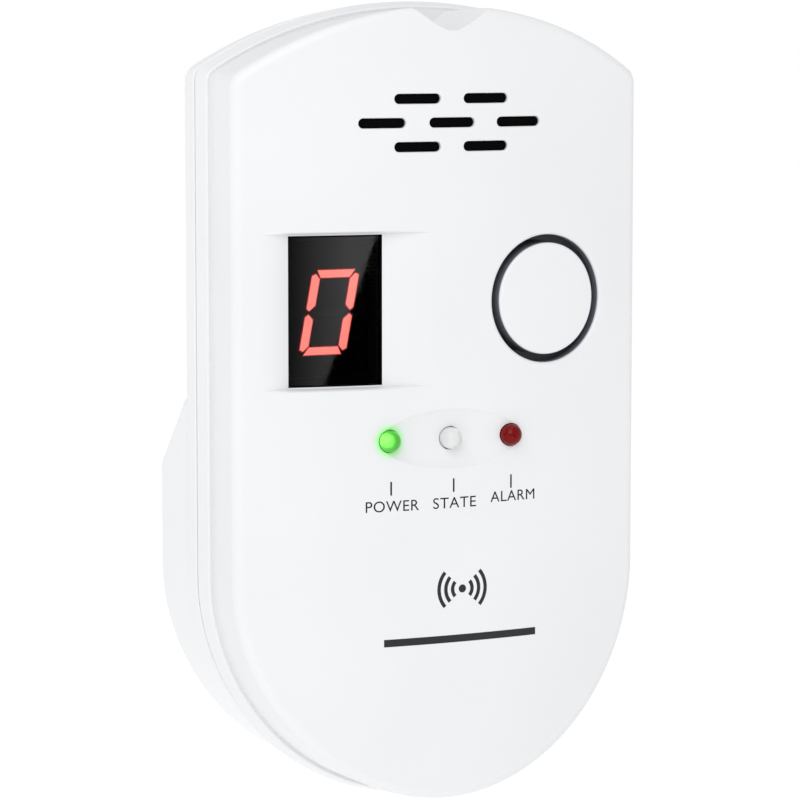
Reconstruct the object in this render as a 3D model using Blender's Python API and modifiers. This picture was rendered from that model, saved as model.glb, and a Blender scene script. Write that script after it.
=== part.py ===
"""Plug-in gas and carbon monoxide alarm, as an assembly of separate solids.

Frame: +Z up, the front face looks along -Y and the two mains blades point along +Y.
The origin is the centre of the plug block's flat rear face, midway between the blades.

Sizes below are in millimetres. A place inside the alarm is given as (x, depth, z): depth is measured back
from the foremost line of the front face, and z from the middle of the front face's outline.
"""

import math

import bmesh
import bpy
from mathutils import Matrix, Vector

MM = 0.001
FIT_GAP = 0.15  # between a piece and the hole that it slides or presses into
REST_GAP = 0.3  # between two pieces that rest on each other

# Outline of the front face
FACE_HALF_WIDTH = 32.7
TOP_APEX = 58.3
TOP_SHOULDER = 48.17
CORNER_RADIUS = 2.6
STRAIGHT_END = -24.95
LOWER_APEX = -58.1
LOWER_EXPONENT = 1.93
FACE_RADIUS = 127.8  # the front face is part of a cylinder about a vertical axis
TOP_FALL = 1.0  # how far the arch at the top sinks from the face back to the ledge, at its middle
COLUMN_STEPS = 30

# Depths of the housing's layers
WALL = 2.0
LEDGE_DEPTH = 11.5
SEAM_DEPTH = 14.4
CASE_DEPTH = 20.5
BODY_DEPTH = 32.0
BEND_START = 3.0
BEND_END = 6.5

# Plug block
PLUG_Z = -30.0
RAMP_TOP_Z = 1.3
RAMP_ROUND = 6.0
BLADE_SPACING = 12.7
BLADE_WIDTH = 6.35
BLADE_THICKNESS = 1.5
SHANK_THICKNESS = 1.4  # the blade inside the housing
BLADE_STEP_DEPTH = 32.2
BLADE_LENGTH = 16.5
BLADE_HOLE_RADIUS = 1.5
BLADE_HOLE_REACH = 11.7

# Features of the front face
SLOT_PITCH = 10.95
SLOT_LENGTH = 7.28
SLOT_HEIGHT = 1.45
SLOT_ROW_SPACING = 3.46
SLOT_MIDDLE_Z = 41.5
BUTTON_X = 16.1
BUTTON_Z = 15.35
BUTTON_RADIUS = 8.25
BUTTON_HOLE_RADIUS = 9.57
BUTTON_TRAVEL = 0.8
LAMP_PITCH = 9.87
LAMP_Z = -4.5
LAMP_RADIUS = 1.5
DISH_HALF_WIDTH = 11.3
DISH_HALF_HEIGHT = 4.35
DISH_DEPTH = 0.5
WINDOW_LEFT = -24.3
WINDOW_RIGHT = -10.55
WINDOW_BOTTOM = 3.76
WINDOW_TOP = 25.36
WINDOW_DEPTH = 1.5
WINDOW_THICKNESS = 1.2
SCOOP_LEFT = -29.0
SCOOP_RIGHT = -2.9
SCOOP_MARGIN = 0.35
NOTCH_FRONT_RADIUS = 7.9
NOTCH_REAR_RADIUS = 5.7
NOTCH_FLOOR_Z = 54.7
NOTCH_END = 11.9
NOTCH_WALL_END = 12.6
MESH_POCKET_FRONT = 1.0
MESH_POCKET_SIZE = (36.4, 11.8)
MESH_DEPTHS = (1.3, 1.9)
MESH_SIZE = (35.0, 10.4)

# Boards and fixings
MAIN_BOARD_DEPTH = 13.8
POWER_BOARD_DEPTH = 24.2
BOARD_THICKNESS = 1.6
CASE_SCREWS = {
    "case_screw_top_left": (-26.0, 44.0),
    "case_screw_top_right": (26.0, 44.0),
    "case_screw_bottom_left": (-17.0, -45.5),
    "case_screw_bottom_right": (17.0, -45.5),
}
BOARD_SCREWS = {
    "board_screw_top_left": (-24.0, 30.0),
    "board_screw_top_right": (24.0, 30.0),
    "board_screw_bottom_left": (-24.0, -26.0),
    "board_screw_bottom_right": (24.0, -26.0),
}
POWER_SCREWS = {
    "power_board_screw_left": (-17.5, -38.0),
    "power_board_screw_right": (17.5, -16.5),
}
RETAINER_SCREWS = {
    "retainer_screw_left": (-11.0, PLUG_Z),
    "retainer_screw_right": (11.0, PLUG_Z),
}
CASE_SCREW_SEAT = 18.1
CASE_POST_END = 15.2
CASE_POST_RADIUS = 3.2
CASE_BOSS_RADIUS = 4.2
CASE_HEAD_BORE = 3.1
BOARD_POST_RADIUS = 2.8
RETAINER_DEPTH = 27.4
RETAINER_THICKNESS = 1.2

# Parts behind the front face
DISPLAY_FACE = 5.5
DISPLAY_SIZE = (12.6, 19.0)
DISPLAY_CENTRE = (-17.3, 14.5)
SENSOR_X, SENSOR_Z = -13.0, 40.5
BUZZER_X, BUZZER_Z = 11.0, 40.5

FACING_FRONT = (math.pi / 2, 0.0, 0.0)  # local Z along -Y, local Y along +Z
SIDE_PROFILE = (math.pi / 2, 0.0, math.pi / 2)  # local X along +Y, local Y along +Z


# ---------------------------------------------------------------- scene, materials and places


def clear_scene():
    for obj in list(bpy.data.objects):
        bpy.data.objects.remove(obj, do_unlink=True)


def new_collection(name, hidden=False):
    collection = bpy.data.collections.new(name)
    bpy.context.scene.collection.children.link(collection)
    collection.hide_render = hidden
    return collection


def material(name, colour, roughness=0.45, metallic=0.0, emission=0.0):
    made = bpy.data.materials.new(name)
    made.use_nodes = True
    shader = made.node_tree.nodes["Principled BSDF"]
    shader.inputs["Base Color"].default_value = (*colour, 1.0)
    shader.inputs["Roughness"].default_value = roughness
    shader.inputs["Metallic"].default_value = metallic
    if emission:
        shader.inputs["Emission Color"].default_value = (*colour, 1.0)
        shader.inputs["Emission Strength"].default_value = emission
    return made


def place(x, depth, z):
    """A place inside the alarm, in metres in the part's frame."""
    return Vector((x, depth - BODY_DEPTH, z - PLUG_Z)) * MM


def link(obj, collection, finish=None):
    collection.objects.link(obj)
    if finish is not None:
        obj.data.materials.clear()
        obj.data.materials.append(finish)
    if collection.hide_render:
        obj.hide_render = True
        obj.display_type = "WIRE"
    return obj


def object_from(name, bm, collection, finish=None):
    bmesh.ops.recalc_face_normals(bm, faces=bm.faces)
    mesh = bpy.data.meshes.new(name)
    bm.to_mesh(mesh)
    bm.free()
    return link(bpy.data.objects.new(name, mesh), collection, finish)


# ---------------------------------------------------------------- basic solids


def block(name, low, high, collection, finish=None):
    """A box between two corners, each given as (x, depth, z)."""
    low, high = place(*low), place(*high)
    bm = bmesh.new()
    bmesh.ops.create_cube(bm, size=1.0)
    bmesh.ops.scale(bm, vec=high - low, verts=bm.verts)
    obj = object_from(name, bm, collection, finish)
    obj.location = (low + high) / 2
    return obj


def rod(name, radius, front, back, x, z, collection, finish=None, end_radius=None, segments=24):
    """A round bar along the depth, from front to back, with a second radius where it tapers."""
    bm = bmesh.new()
    back_radius = radius if end_radius is None else end_radius
    bmesh.ops.create_cone(
        bm,
        cap_ends=True,
        segments=segments,
        radius1=back_radius * MM,
        radius2=radius * MM,
        depth=(back - front) * MM,
    )
    obj = object_from(name, bm, collection, finish)
    obj.location = place(x, (front + back) / 2, z)
    obj.rotation_euler = FACING_FRONT
    return obj


def turned(name, profile, x, depth, z, collection, finish=None, segments=24, rotation=FACING_FRONT):
    """A turned piece. The profile is (radius, height) from the top of its outer side down, height being
    measured along the piece's axis from its own origin."""
    mesh = bpy.data.meshes.new(name)
    points = [(radius * MM, 0.0, height * MM) for radius, height in profile]
    mesh.from_pydata(points, [(i, i + 1) for i in range(len(points) - 1)], [])
    obj = link(bpy.data.objects.new(name, mesh), collection, finish)
    screw = obj.modifiers.new("Turn", "SCREW")
    screw.steps = segments
    screw.render_steps = segments
    screw.use_merge_vertices = True
    screw.merge_threshold = 0.00001
    screw.use_smooth_shade = True
    obj.location = place(x, depth, z)
    obj.rotation_euler = rotation
    return obj


def extruded(name, outline, thickness, centre, rotation, collection, finish=None):
    """A flat outline given a thickness. Its points lie in the local XY plane."""
    curve = bpy.data.curves.new(name, "CURVE")
    curve.dimensions = "2D"
    curve.fill_mode = "BOTH"
    curve.extrude = thickness * MM / 2
    spline = curve.splines.new("POLY")
    spline.points.add(len(outline) - 1)
    for point, (u, v) in zip(spline.points, outline):
        point.co = (u * MM, v * MM, 0.0, 1.0)
    spline.use_cyclic_u = True
    guide = bpy.data.objects.new(name + "_outline", curve)
    bpy.context.scene.collection.objects.link(guide)
    guide.location = centre
    guide.rotation_euler = rotation
    bpy.context.view_layer.update()
    evaluated = guide.evaluated_get(bpy.context.evaluated_depsgraph_get())
    mesh = bpy.data.meshes.new_from_object(evaluated)
    world = guide.matrix_world.copy()
    bpy.data.objects.remove(guide)
    bm = bmesh.new()
    bm.from_mesh(mesh)
    bpy.data.meshes.remove(mesh)
    bmesh.ops.remove_doubles(bm, verts=bm.verts, dist=0.000001)
    obj = object_from(name, bm, collection, finish)
    obj.matrix_world = world
    return obj


def circle_points(x, z, radius, start, end, steps):
    """Points on an arc, with its angles in degrees."""
    angles = [math.radians(start + (end - start) * i / steps) for i in range(steps + 1)]
    return [(x + radius * math.cos(a), z + radius * math.sin(a)) for a in angles]


def slot_points(length, height, steps=8):
    """A straight slot with round ends, about its own centre."""
    radius = height / 2
    reach = length / 2 - radius
    right = circle_points(reach, 0.0, radius, -90, 90, steps)
    left = circle_points(-reach, 0.0, radius, 90, 270, steps)
    return right + left


def boolean(obj, others, operation):
    for other in others:
        modifier = obj.modifiers.new(operation.title() + "_" + other.name, "BOOLEAN")
        modifier.operation = operation
        modifier.solver = "EXACT"
        modifier.object = other
    return obj


def baked(obj):
    """Writes the object's modifiers and placing into its mesh, so that its points are in the part's frame."""
    bpy.context.view_layer.update()
    evaluated = obj.evaluated_get(bpy.context.evaluated_depsgraph_get())
    mesh = bpy.data.meshes.new_from_object(evaluated)
    mesh.transform(obj.matrix_world)
    obj.modifiers.clear()
    obj.data = mesh
    obj.matrix_world = Matrix.Identity(4)
    return obj


def bent_to_face(obj):
    """Bends a piece that was made for a flat front so that it follows the curved one. The bend is whole near
    the face and dies out further back."""
    baked(obj)
    for vertex in obj.data.vertices:
        depth = vertex.co.y / MM + BODY_DEPTH
        share = min(max((BEND_END - depth) / (BEND_END - BEND_START), 0.0), 1.0)
        vertex.co.y += share * vertex.co.x**2 / (2 * FACE_RADIUS * MM)
    return obj


# ---------------------------------------------------------------- housing outline


def column(offset, depth, share):
    """x, top and bottom of the housing's outline at a depth, at a share (-1 to 1) of its half width. This is
    the face's outline grown by offset, with the arch sunk a little behind the face."""
    half = FACE_HALF_WIDTH + offset
    x = half * share
    rise = TOP_APEX - TOP_SHOULDER
    radius = (FACE_HALF_WIDTH**2 + rise**2) / (2 * rise) + offset
    centre = TOP_APEX + offset - radius
    corner = max(CORNER_RADIUS + min(offset, 0.0), 0.3)
    corner_x = half - corner
    corner_z = centre + math.sqrt((radius - corner) ** 2 - corner_x**2)
    if abs(x) * (radius - corner) <= corner_x * radius:
        top = centre + math.sqrt(radius**2 - x**2)
    else:
        top = corner_z + math.sqrt(max(corner**2 - (abs(x) - corner_x) ** 2, 0.0))
    back = min(max((depth - 1.0) / (LEDGE_DEPTH - 1.0), 0.0), 1.0)
    top -= TOP_FALL * back * (1.0 - share**2)
    drop = STRAIGHT_END - LOWER_APEX + offset
    reach = max(1.0 - abs(share) ** LOWER_EXPONENT, 0.0) ** (1.0 / LOWER_EXPONENT)
    return x, top, STRAIGHT_END - drop * reach


def outline_ring(offset, depth):
    """The outline's points, over the top from left to right and back along the bottom."""
    shares = [math.sin(math.pi * (i / COLUMN_STEPS - 0.5)) for i in range(COLUMN_STEPS + 1)]
    columns = [column(offset, depth, share) for share in shares]
    return [(x, top) for x, top, _ in columns] + [(x, bottom) for x, _, bottom in reversed(columns)]


def loft(name, layers, collection, finish=None):
    """A solid skinned through outlines. Each layer is (depth, offset). Both ends are closed by upright
    strips, one for each column, so that a bent end stays smooth."""
    bm = bmesh.new()
    rings = []
    for depth, offset in layers:
        rings.append([bm.verts.new(place(x, depth, z)) for x, z in outline_ring(offset, depth)])
    count = len(rings[0])
    for front, back in zip(rings, rings[1:]):
        for i in range(count):
            j = (i + 1) % count
            bm.faces.new((front[i], front[j], back[j], back[i]))
    for ring in (rings[0], rings[-1]):
        for i in range(COLUMN_STEPS):
            bm.faces.new((ring[i], ring[i + 1], ring[count - 2 - i], ring[count - 1 - i]))
    return object_from(name, bm, collection, finish)


# ---------------------------------------------------------------- front cover


def scoop_outline():
    """The display scoop's floor in (x, depth): two rolled flanks beside the window. It is closed in front of
    the face."""

    def flank(edge, window_edge, softness, steps=5):
        points = []
        for i in range(steps + 1):
            share = i / steps
            sink = WINDOW_DEPTH * (softness * share + (1 - softness) * share**2)
            points.append((edge + (window_edge - edge) * share, sink))
        return points

    left = flank(SCOOP_LEFT, WINDOW_LEFT, 0.4)
    right = flank(SCOOP_RIGHT, WINDOW_RIGHT, 0.62)
    return [(SCOOP_LEFT, -1.0)] + left + right[::-1] + [(SCOOP_RIGHT, -1.0)]


def notch_cutter(name, growth, front, back, cutters):
    """A half-cone that narrows towards the ledge, tilted so that its floor is level."""
    taper = (NOTCH_FRONT_RADIUS - NOTCH_REAR_RADIUS) / LEDGE_DEPTH
    front_radius = NOTCH_FRONT_RADIUS - taper * front
    back_radius = NOTCH_FRONT_RADIUS - taper * back
    cone = rod(
        name,
        front_radius + growth,
        front,
        back,
        0.0,
        NOTCH_FLOOR_Z + (front_radius + back_radius) / 2,
        cutters,
        end_radius=back_radius + growth,
        segments=40,
    )
    cone.rotation_euler.x -= math.atan(taper)
    return cone


def make_front_cover(parts, cutters, finish):
    outer = [
        (0.0, -1.0),
        (0.3, -0.35),
        (1.0, 0.05),
        (LEDGE_DEPTH, 0.31),
        (LEDGE_DEPTH, 0.76),
        (LEDGE_DEPTH + 0.5, 1.06),
        (SEAM_DEPTH, 1.66),
    ]
    inner = [
        (SEAM_DEPTH, 0.0),
        (SEAM_DEPTH - 1.9, 0.0),
        (SEAM_DEPTH - 2.2, -1.1),
        (3.2, -1.9),
        (WALL, -2.6),
    ]
    cover = loft("front_cover", outer + inner, parts, finish)
    # The notch's surround stays inside the shell's own thickness at the top.
    within_shell = loft("within_shell", [(0.9, -0.6), (SEAM_DEPTH, -0.6)], cutters)

    notch_wall = notch_cutter("notch_wall", 1.8, 0.6, NOTCH_WALL_END, cutters)
    added = [boolean(notch_wall, [within_shell], "INTERSECT")]
    for name, (x, z) in CASE_SCREWS.items():
        added.append(rod(name + "_post", CASE_POST_RADIUS, 1.0, CASE_POST_END, x, z, cutters))
    for name, (x, z) in BOARD_SCREWS.items():
        end = MAIN_BOARD_DEPTH - REST_GAP
        added.append(rod(name + "_post", BOARD_POST_RADIUS, 1.0, end, x, z, cutters))
    for index, (x, z) in enumerate(circle_points(BUTTON_X, BUTTON_Z, 11.0, 90, 330, 2)):
        added.append(rod(f"button_stop_{index}", 1.2, 1.0, 6.7, x, z, cutters, segments=16))
    frame_low = (WINDOW_LEFT - 1.6, 1.0, WINDOW_BOTTOM - 1.6)
    frame_high = (WINDOW_RIGHT + 1.6, WINDOW_DEPTH + 1.6, WINDOW_TOP + 1.6)
    added.append(block("window_frame", frame_low, frame_high, cutters))
    boolean(cover, added, "UNION")

    wide, tall = MESH_POCKET_SIZE
    pocket_low = (-wide / 2, MESH_POCKET_FRONT, SLOT_MIDDLE_Z - tall / 2)
    pocket_high = (wide / 2, WALL + 1.0, SLOT_MIDDLE_Z + tall / 2)
    removed = [strips("mesh_pocket", pocket_low, pocket_high, 8, cutters)]
    removed.append(notch_cutter("notch", 0.0, -2.0, NOTCH_END, cutters))
    for row, places in ((1, (-0.5, 0.5)), (0, (-1, 0, 1)), (-1, (-0.5, 0.5))):
        for column_place in places:
            x = column_place * SLOT_PITCH
            z = SLOT_MIDDLE_Z + row * SLOT_ROW_SPACING
            outline = slot_points(SLOT_LENGTH, SLOT_HEIGHT)
            cutter = extruded("slot", outline, 5.0, place(x, 1.2, z), FACING_FRONT, cutters)
            removed.append(cutter)
    removed.append(
        rod("button_hole", BUTTON_HOLE_RADIUS, -1.0, 4.0, BUTTON_X, BUTTON_Z, cutters, segments=48)
    )
    scoop_height = WINDOW_TOP - WINDOW_BOTTOM + 2 * SCOOP_MARGIN
    scoop_centre = place(0.0, 0.0, (WINDOW_TOP + WINDOW_BOTTOM) / 2)
    removed.append(
        extruded("display_scoop", scoop_outline(), scoop_height, scoop_centre, (0, 0, 0), cutters)
    )
    hole_low = (WINDOW_LEFT - FIT_GAP, 0.5, WINDOW_BOTTOM - FIT_GAP)
    hole_high = (WINDOW_RIGHT + FIT_GAP, 5.0, WINDOW_TOP + FIT_GAP)
    removed.append(block("window_hole", hole_low, hole_high, cutters))
    removed.append(make_dish_cutter(cutters))
    for x in (-LAMP_PITCH, 0.0, LAMP_PITCH):
        removed.append(rod("lamp_hole", LAMP_RADIUS + FIT_GAP, -1.0, 4.0, x, LAMP_Z, cutters))
    for name, (x, z) in CASE_SCREWS.items():
        removed.append(rod(name + "_pilot", 1.5, 7.0, 17.0, x, z, cutters, segments=16))
    for name, (x, z) in BOARD_SCREWS.items():
        removed.append(rod(name + "_pilot", 1.1, 8.0, 15.0, x, z, cutters, segments=16))
    boolean(cover, removed, "DIFFERENCE")
    return bent_to_face(cover)


def make_dish_cutter(cutters):
    """A flattened ball that leaves a shallow eye-shaped dish round the lamps."""
    grow = 1.12  # the ball's widest section over the dish's outline
    sink = DISH_DEPTH / (1 - math.sqrt(1 - 1 / grow**2))
    bm = bmesh.new()
    bmesh.ops.create_uvsphere(bm, u_segments=48, v_segments=24, radius=1.0)
    size = Vector((DISH_HALF_WIDTH * grow, DISH_HALF_HEIGHT * grow, sink)) * MM
    bmesh.ops.scale(bm, vec=size, verts=bm.verts)
    dish = object_from("lamp_dish", bm, cutters)
    dish.rotation_euler = FACING_FRONT
    dish.location = place(0.0, DISH_DEPTH - sink, LAMP_Z)
    return dish


# ---------------------------------------------------------------- rear cover


def ramp_outline(case_depth, body_depth, ramp_top, rounding):
    """What is cut away above the plug block, in (depth, z): behind the case, over a 45 degree ramp that rolls
    into the block's rear face."""
    corner_z = ramp_top - (body_depth - case_depth)
    tangent = rounding * math.tan(math.radians(22.5))
    arc = circle_points(body_depth - rounding, corner_z - tangent, rounding, 45, 0, 6)
    far = body_depth + 12.0
    return [(case_depth, 90.0), (case_depth, ramp_top)] + arc + [(far, corner_z - tangent), (far, 90.0)]


def ramp_cutter(name, case_depth, body_depth, ramp_top, rounding, cutters):
    outline = ramp_outline(case_depth, body_depth, ramp_top, rounding)
    return extruded(name, outline, 90.0, place(0.0, 0.0, 0.0), SIDE_PROFILE, cutters)


def make_rear_cover(parts, cutters, finish):
    seam = SEAM_DEPTH + REST_GAP
    outer = [
        (SEAM_DEPTH - 1.5, -0.3),
        (seam, -0.3),
        (seam, 1.66),
        (18.0, 1.36),
        (BODY_DEPTH - 2.0, 0.81),
        (BODY_DEPTH - 0.6, 0.5),
        (BODY_DEPTH, -1.0),
    ]
    inner = [
        (SEAM_DEPTH - 3.0, -1.5),
        (16.0, -1.5),
        (17.0, -0.6),
        (BODY_DEPTH - 3.0, -1.1),
        (BODY_DEPTH - WALL, -2.0),
    ]
    cover = loft("rear_cover", outer, parts, finish)
    case_back = ramp_cutter("case_back", CASE_DEPTH, BODY_DEPTH, RAMP_TOP_Z, RAMP_ROUND, cutters)
    boolean(cover, [case_back], "DIFFERENCE")
    hollow = loft("rear_hollow", inner, cutters)
    inner_top = RAMP_TOP_Z - WALL * math.tan(math.radians(22.5))
    inner_back = ramp_cutter(
        "hollow_back", CASE_DEPTH - WALL, BODY_DEPTH - WALL, inner_top, RAMP_ROUND - WALL, cutters
    )
    boolean(hollow, [inner_back], "DIFFERENCE")
    boolean(cover, [hollow], "DIFFERENCE")

    added = []
    removed = []
    boss_front = CASE_POST_END + REST_GAP
    for name, (x, z) in CASE_SCREWS.items():
        back = CASE_DEPTH - 0.5 if z > 0 else BODY_DEPTH - 0.8
        open_end = CASE_DEPTH + 1.0 if z > 0 else BODY_DEPTH + 1.0
        added.append(rod(name + "_boss", CASE_BOSS_RADIUS, boss_front, back, x, z, cutters))
        removed.append(rod(name + "_way", 1.7, 14.0, CASE_SCREW_SEAT + 1.0, x, z, cutters, segments=16))
        removed.append(rod(name + "_bore", CASE_HEAD_BORE, CASE_SCREW_SEAT, open_end, x, z, cutters))
    post_end = BODY_DEPTH - 1.0
    for name, (x, z) in POWER_SCREWS.items():
        front = POWER_BOARD_DEPTH + BOARD_THICKNESS + REST_GAP
        added.append(rod(name + "_post", 2.6, front, post_end, x, z, cutters, segments=20))
        removed.append(rod(name + "_pilot", 1.1, front - 1.0, 30.6, x, z, cutters, segments=16))
    for name, (x, z) in RETAINER_SCREWS.items():
        front = RETAINER_DEPTH + RETAINER_THICKNESS + REST_GAP
        added.append(rod(name + "_post", 2.4, front, post_end, x, z, cutters, segments=20))
        removed.append(rod(name + "_pilot", 1.1, front - 1.0, 30.8, x, z, cutters, segments=16))
    for side in (-1, 1):
        x = side * BLADE_SPACING / 2
        half = BLADE_THICKNESS / 2 + FIT_GAP
        reach = BLADE_WIDTH / 2 + FIT_GAP
        low = (x - half, 29.0, PLUG_Z - reach)
        high = (x + half, BODY_DEPTH + 1.0, PLUG_Z + reach)
        removed.append(block("blade_slot", low, high, cutters))
    boolean(cover, added, "UNION")
    boolean(cover, removed, "DIFFERENCE")
    return cover


# ---------------------------------------------------------------- pieces seen from outside


def make_window(parts, finish):
    low = (WINDOW_LEFT, WINDOW_DEPTH + 0.05, WINDOW_BOTTOM)
    high = (WINDOW_RIGHT, WINDOW_DEPTH + 0.05 + WINDOW_THICKNESS, WINDOW_TOP)
    return bent_to_face(strips("display_window", low, high, 6, parts, finish))


def strips(name, low, high, count, collection, finish=None):
    """A flat plate divided into upright strips, so that it can be bent smoothly."""
    bm = bmesh.new()
    bmesh.ops.create_cube(bm, size=1.0)
    upright = [e for e in bm.edges if abs(e.verts[0].co.x - e.verts[1].co.x) > 0.5]
    bmesh.ops.subdivide_edges(bm, edges=upright, cuts=count - 1, use_grid_fill=True)
    corner_low, corner_high = place(*low), place(*high)
    bmesh.ops.scale(bm, vec=corner_high - corner_low, verts=bm.verts)
    bmesh.ops.translate(bm, vec=(corner_low + corner_high) / 2, verts=bm.verts)
    return object_from(name, bm, collection, finish)


def make_test_button(parts, finish):
    """A cap with a skirt, a stop flange behind the cover and a stem that works the switch."""
    profile = [
        (0.0, 0.0),
        (4.0, 0.0),
        (BUTTON_RADIUS - 0.9, 0.0),
        (BUTTON_RADIUS - 0.25, -0.25),
        (BUTTON_RADIUS, -0.9),
        (BUTTON_RADIUS, -7.0),
        (11.3, -7.0),
        (11.3, -8.2),
        (BUTTON_RADIUS - 1.4, -8.2),
        (BUTTON_RADIUS - 1.4, -1.8),
        (4.5, -1.8),
        (1.8, -1.8),
        (1.8, -9.0),
        (0.0, -9.0),
    ]
    button = turned(
        "test_button", profile, BUTTON_X, 0.0, BUTTON_Z, parts, finish, segments=40
    )
    bent_to_face(button)
    axis_point = place(BUTTON_X, 0.0, BUTTON_Z)
    button.data.transform(Matrix.Translation(-axis_point))
    button.location = axis_point
    return button


def make_lamp(name, x, parts, finish, spacer_finish):
    dome_centre = 0.3
    dome = [
        (LAMP_RADIUS * math.cos(math.radians(a)), LAMP_RADIUS * math.sin(math.radians(a)))
        for a in (90, 70, 50, 30, 12, 0)
    ]
    profile = dome + [(LAMP_RADIUS, -3.9), (1.9, -3.9), (1.9, -4.9), (0.0, -4.9)]
    profile[0] = (0.0, LAMP_RADIUS)
    turned(name, profile, x, dome_centre, LAMP_Z, parts, finish, segments=20)
    front = dome_centre + 4.9 + REST_GAP
    length = MAIN_BOARD_DEPTH - REST_GAP - front
    tube = [(1.2, 0.0), (2.4, 0.0), (2.4, -length), (1.2, -length), (1.2, 0.0)]
    spacer = name.replace("led_", "led_spacer_")
    turned(spacer, tube, x, front, LAMP_Z, parts, spacer_finish, segments=16)


def blade_plate(name, outline, thickness, side, collection, finish=None):
    """A flat of the blade, from its (depth, z) outline about the blade's middle line."""
    middle = place(side * BLADE_SPACING / 2, 0.0, PLUG_Z)
    return extruded(name, outline, thickness, middle, SIDE_PROFILE, collection, finish)


def mirrored(half_outline):
    """An outline from its lower half."""
    return half_outline + [(depth, -z) for depth, z in reversed(half_outline)]


def make_blade(name, side, parts, cutters, finish):
    """A mains blade with a rounded tip and a punched hole. Its thinner shank has a stop shoulder inside the
    housing and ends in a solder tab."""
    reach = BLADE_WIDTH / 2
    tip = BODY_DEPTH + BLADE_LENGTH
    shoulder_front, shoulder_back, shoulder = 28.9, 29.7, 4.75
    tab_front, tab = 23.6, 2.0
    exposed = [
        (BLADE_STEP_DEPTH, -reach),
        (tip - 1.6, -reach),
        (tip - 0.4, -reach + 0.8),
        (tip, -reach + 2.2),
    ]
    blade = blade_plate(name, mirrored(exposed), BLADE_THICKNESS, side, parts, finish)
    inside = [
        (tab_front, -tab),
        (shoulder_front, -tab),
        (shoulder_front, -shoulder),
        (shoulder_back, -shoulder),
        (shoulder_back, -reach + 0.05),
        (BLADE_STEP_DEPTH + 2.0, -reach + 0.05),
    ]
    shank = blade_plate(name + "_shank", mirrored(inside), SHANK_THICKNESS, side, cutters)
    boolean(blade, [shank], "UNION")
    hole = rod("blade_hole", BLADE_HOLE_RADIUS, -2.0, 2.0, 0.0, 0.0, cutters, segments=20)
    hole.rotation_euler = (0.0, math.pi / 2, 0.0)
    hole.location = place(side * BLADE_SPACING / 2, BODY_DEPTH + BLADE_HOLE_REACH, PLUG_Z)
    return boolean(blade, [hole], "DIFFERENCE")


# ---------------------------------------------------------------- pieces inside


def make_screw(name, x, z, seat, length, radius, head_radius, head_height, heads_back, parts, finish):
    """A pan-head screw. Its head looks back out of the case, or forward where heads_back is false."""
    profile = [
        (0.0, head_height),
        (head_radius * 0.7, head_height),
        (head_radius, head_height * 0.55),
        (head_radius, 0.0),
        (radius, 0.0),
        (radius, -length + radius),
        (radius * 0.3, -length),
        (0.0, -length),
    ]
    rotation = (-math.pi / 2, 0.0, 0.0) if heads_back else FACING_FRONT
    turned(name, profile, x, seat, z, parts, finish, segments=14, rotation=rotation)


def make_all_screws(parts, finish):
    for name, (x, z) in CASE_SCREWS.items():
        make_screw(name, x, z, CASE_SCREW_SEAT + FIT_GAP, 9.5, 1.35, 2.6, 1.8, True, parts, finish)
    for name, (x, z) in BOARD_SCREWS.items():
        seat = MAIN_BOARD_DEPTH + BOARD_THICKNESS + FIT_GAP
        make_screw(name, x, z, seat, 6.0, 0.95, 1.9, 1.2, True, parts, finish)
    for name, (x, z) in POWER_SCREWS.items():
        make_screw(name, x, z, POWER_BOARD_DEPTH - FIT_GAP, 5.6, 0.95, 1.9, 1.2, False, parts, finish)
    for name, (x, z) in RETAINER_SCREWS.items():
        make_screw(name, x, z, RETAINER_DEPTH - FIT_GAP, 3.0, 0.95, 1.9, 1.0, False, parts, finish)


def make_board(name, outline, front, holes, parts, cutters, finish):
    centre = place(0.0, front + BOARD_THICKNESS / 2, 0.0)
    board = extruded(name, [(x, z - PLUG_Z) for x, z in outline], BOARD_THICKNESS,
                     Vector((0.0, centre.y, 0.0)), FACING_FRONT, parts, finish)
    cuts = []
    for x, z in holes:
        cuts.append(rod(name + "_hole", 1.25, front - 1.0, front + 3.0, x, z, cutters, segments=16))
    return boolean(board, cuts, "DIFFERENCE")


def make_boards(parts, cutters, finishes):
    half = [(28.0, -30.0), (28.0, 33.0), (17.0, 50.0)]
    outline = [(-22.0, -39.0), (22.0, -39.0)] + half + [(-x, z) for x, z in reversed(half)]
    make_board(
        "main_board", outline, MAIN_BOARD_DEPTH, BOARD_SCREWS.values(), parts, cutters, finishes["board"]
    )
    outline = [(-21.0, -40.9), (21.0, -40.9), (21.0, -13.0), (-21.0, -13.0)]
    board = make_board(
        "power_board", outline, POWER_BOARD_DEPTH, POWER_SCREWS.values(), parts, cutters, finishes["board"]
    )
    retainer = block(
        "blade_retainer",
        (-13.5, RETAINER_DEPTH, PLUG_Z - 6.5),
        (13.5, RETAINER_DEPTH + RETAINER_THICKNESS, PLUG_Z + 6.5),
        parts,
        finishes["retainer"],
    )
    slots = []
    for side in (-1, 1):
        x = side * BLADE_SPACING / 2
        half_width = BLADE_THICKNESS / 2 + FIT_GAP
        low = (x - half_width, 22.0, PLUG_Z - 2.0 - FIT_GAP)
        high = (x + half_width, 29.5, PLUG_Z + 2.0 + FIT_GAP)
        slots.append(block("tab_slot", low, high, cutters))
    boolean(board, slots, "DIFFERENCE")
    holes = [
        rod(name + "_clearance", 1.2, 26.0, 30.0, x, z, cutters, segments=16)
        for name, (x, z) in RETAINER_SCREWS.items()
    ]
    boolean(retainer, slots + holes, "DIFFERENCE")


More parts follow.
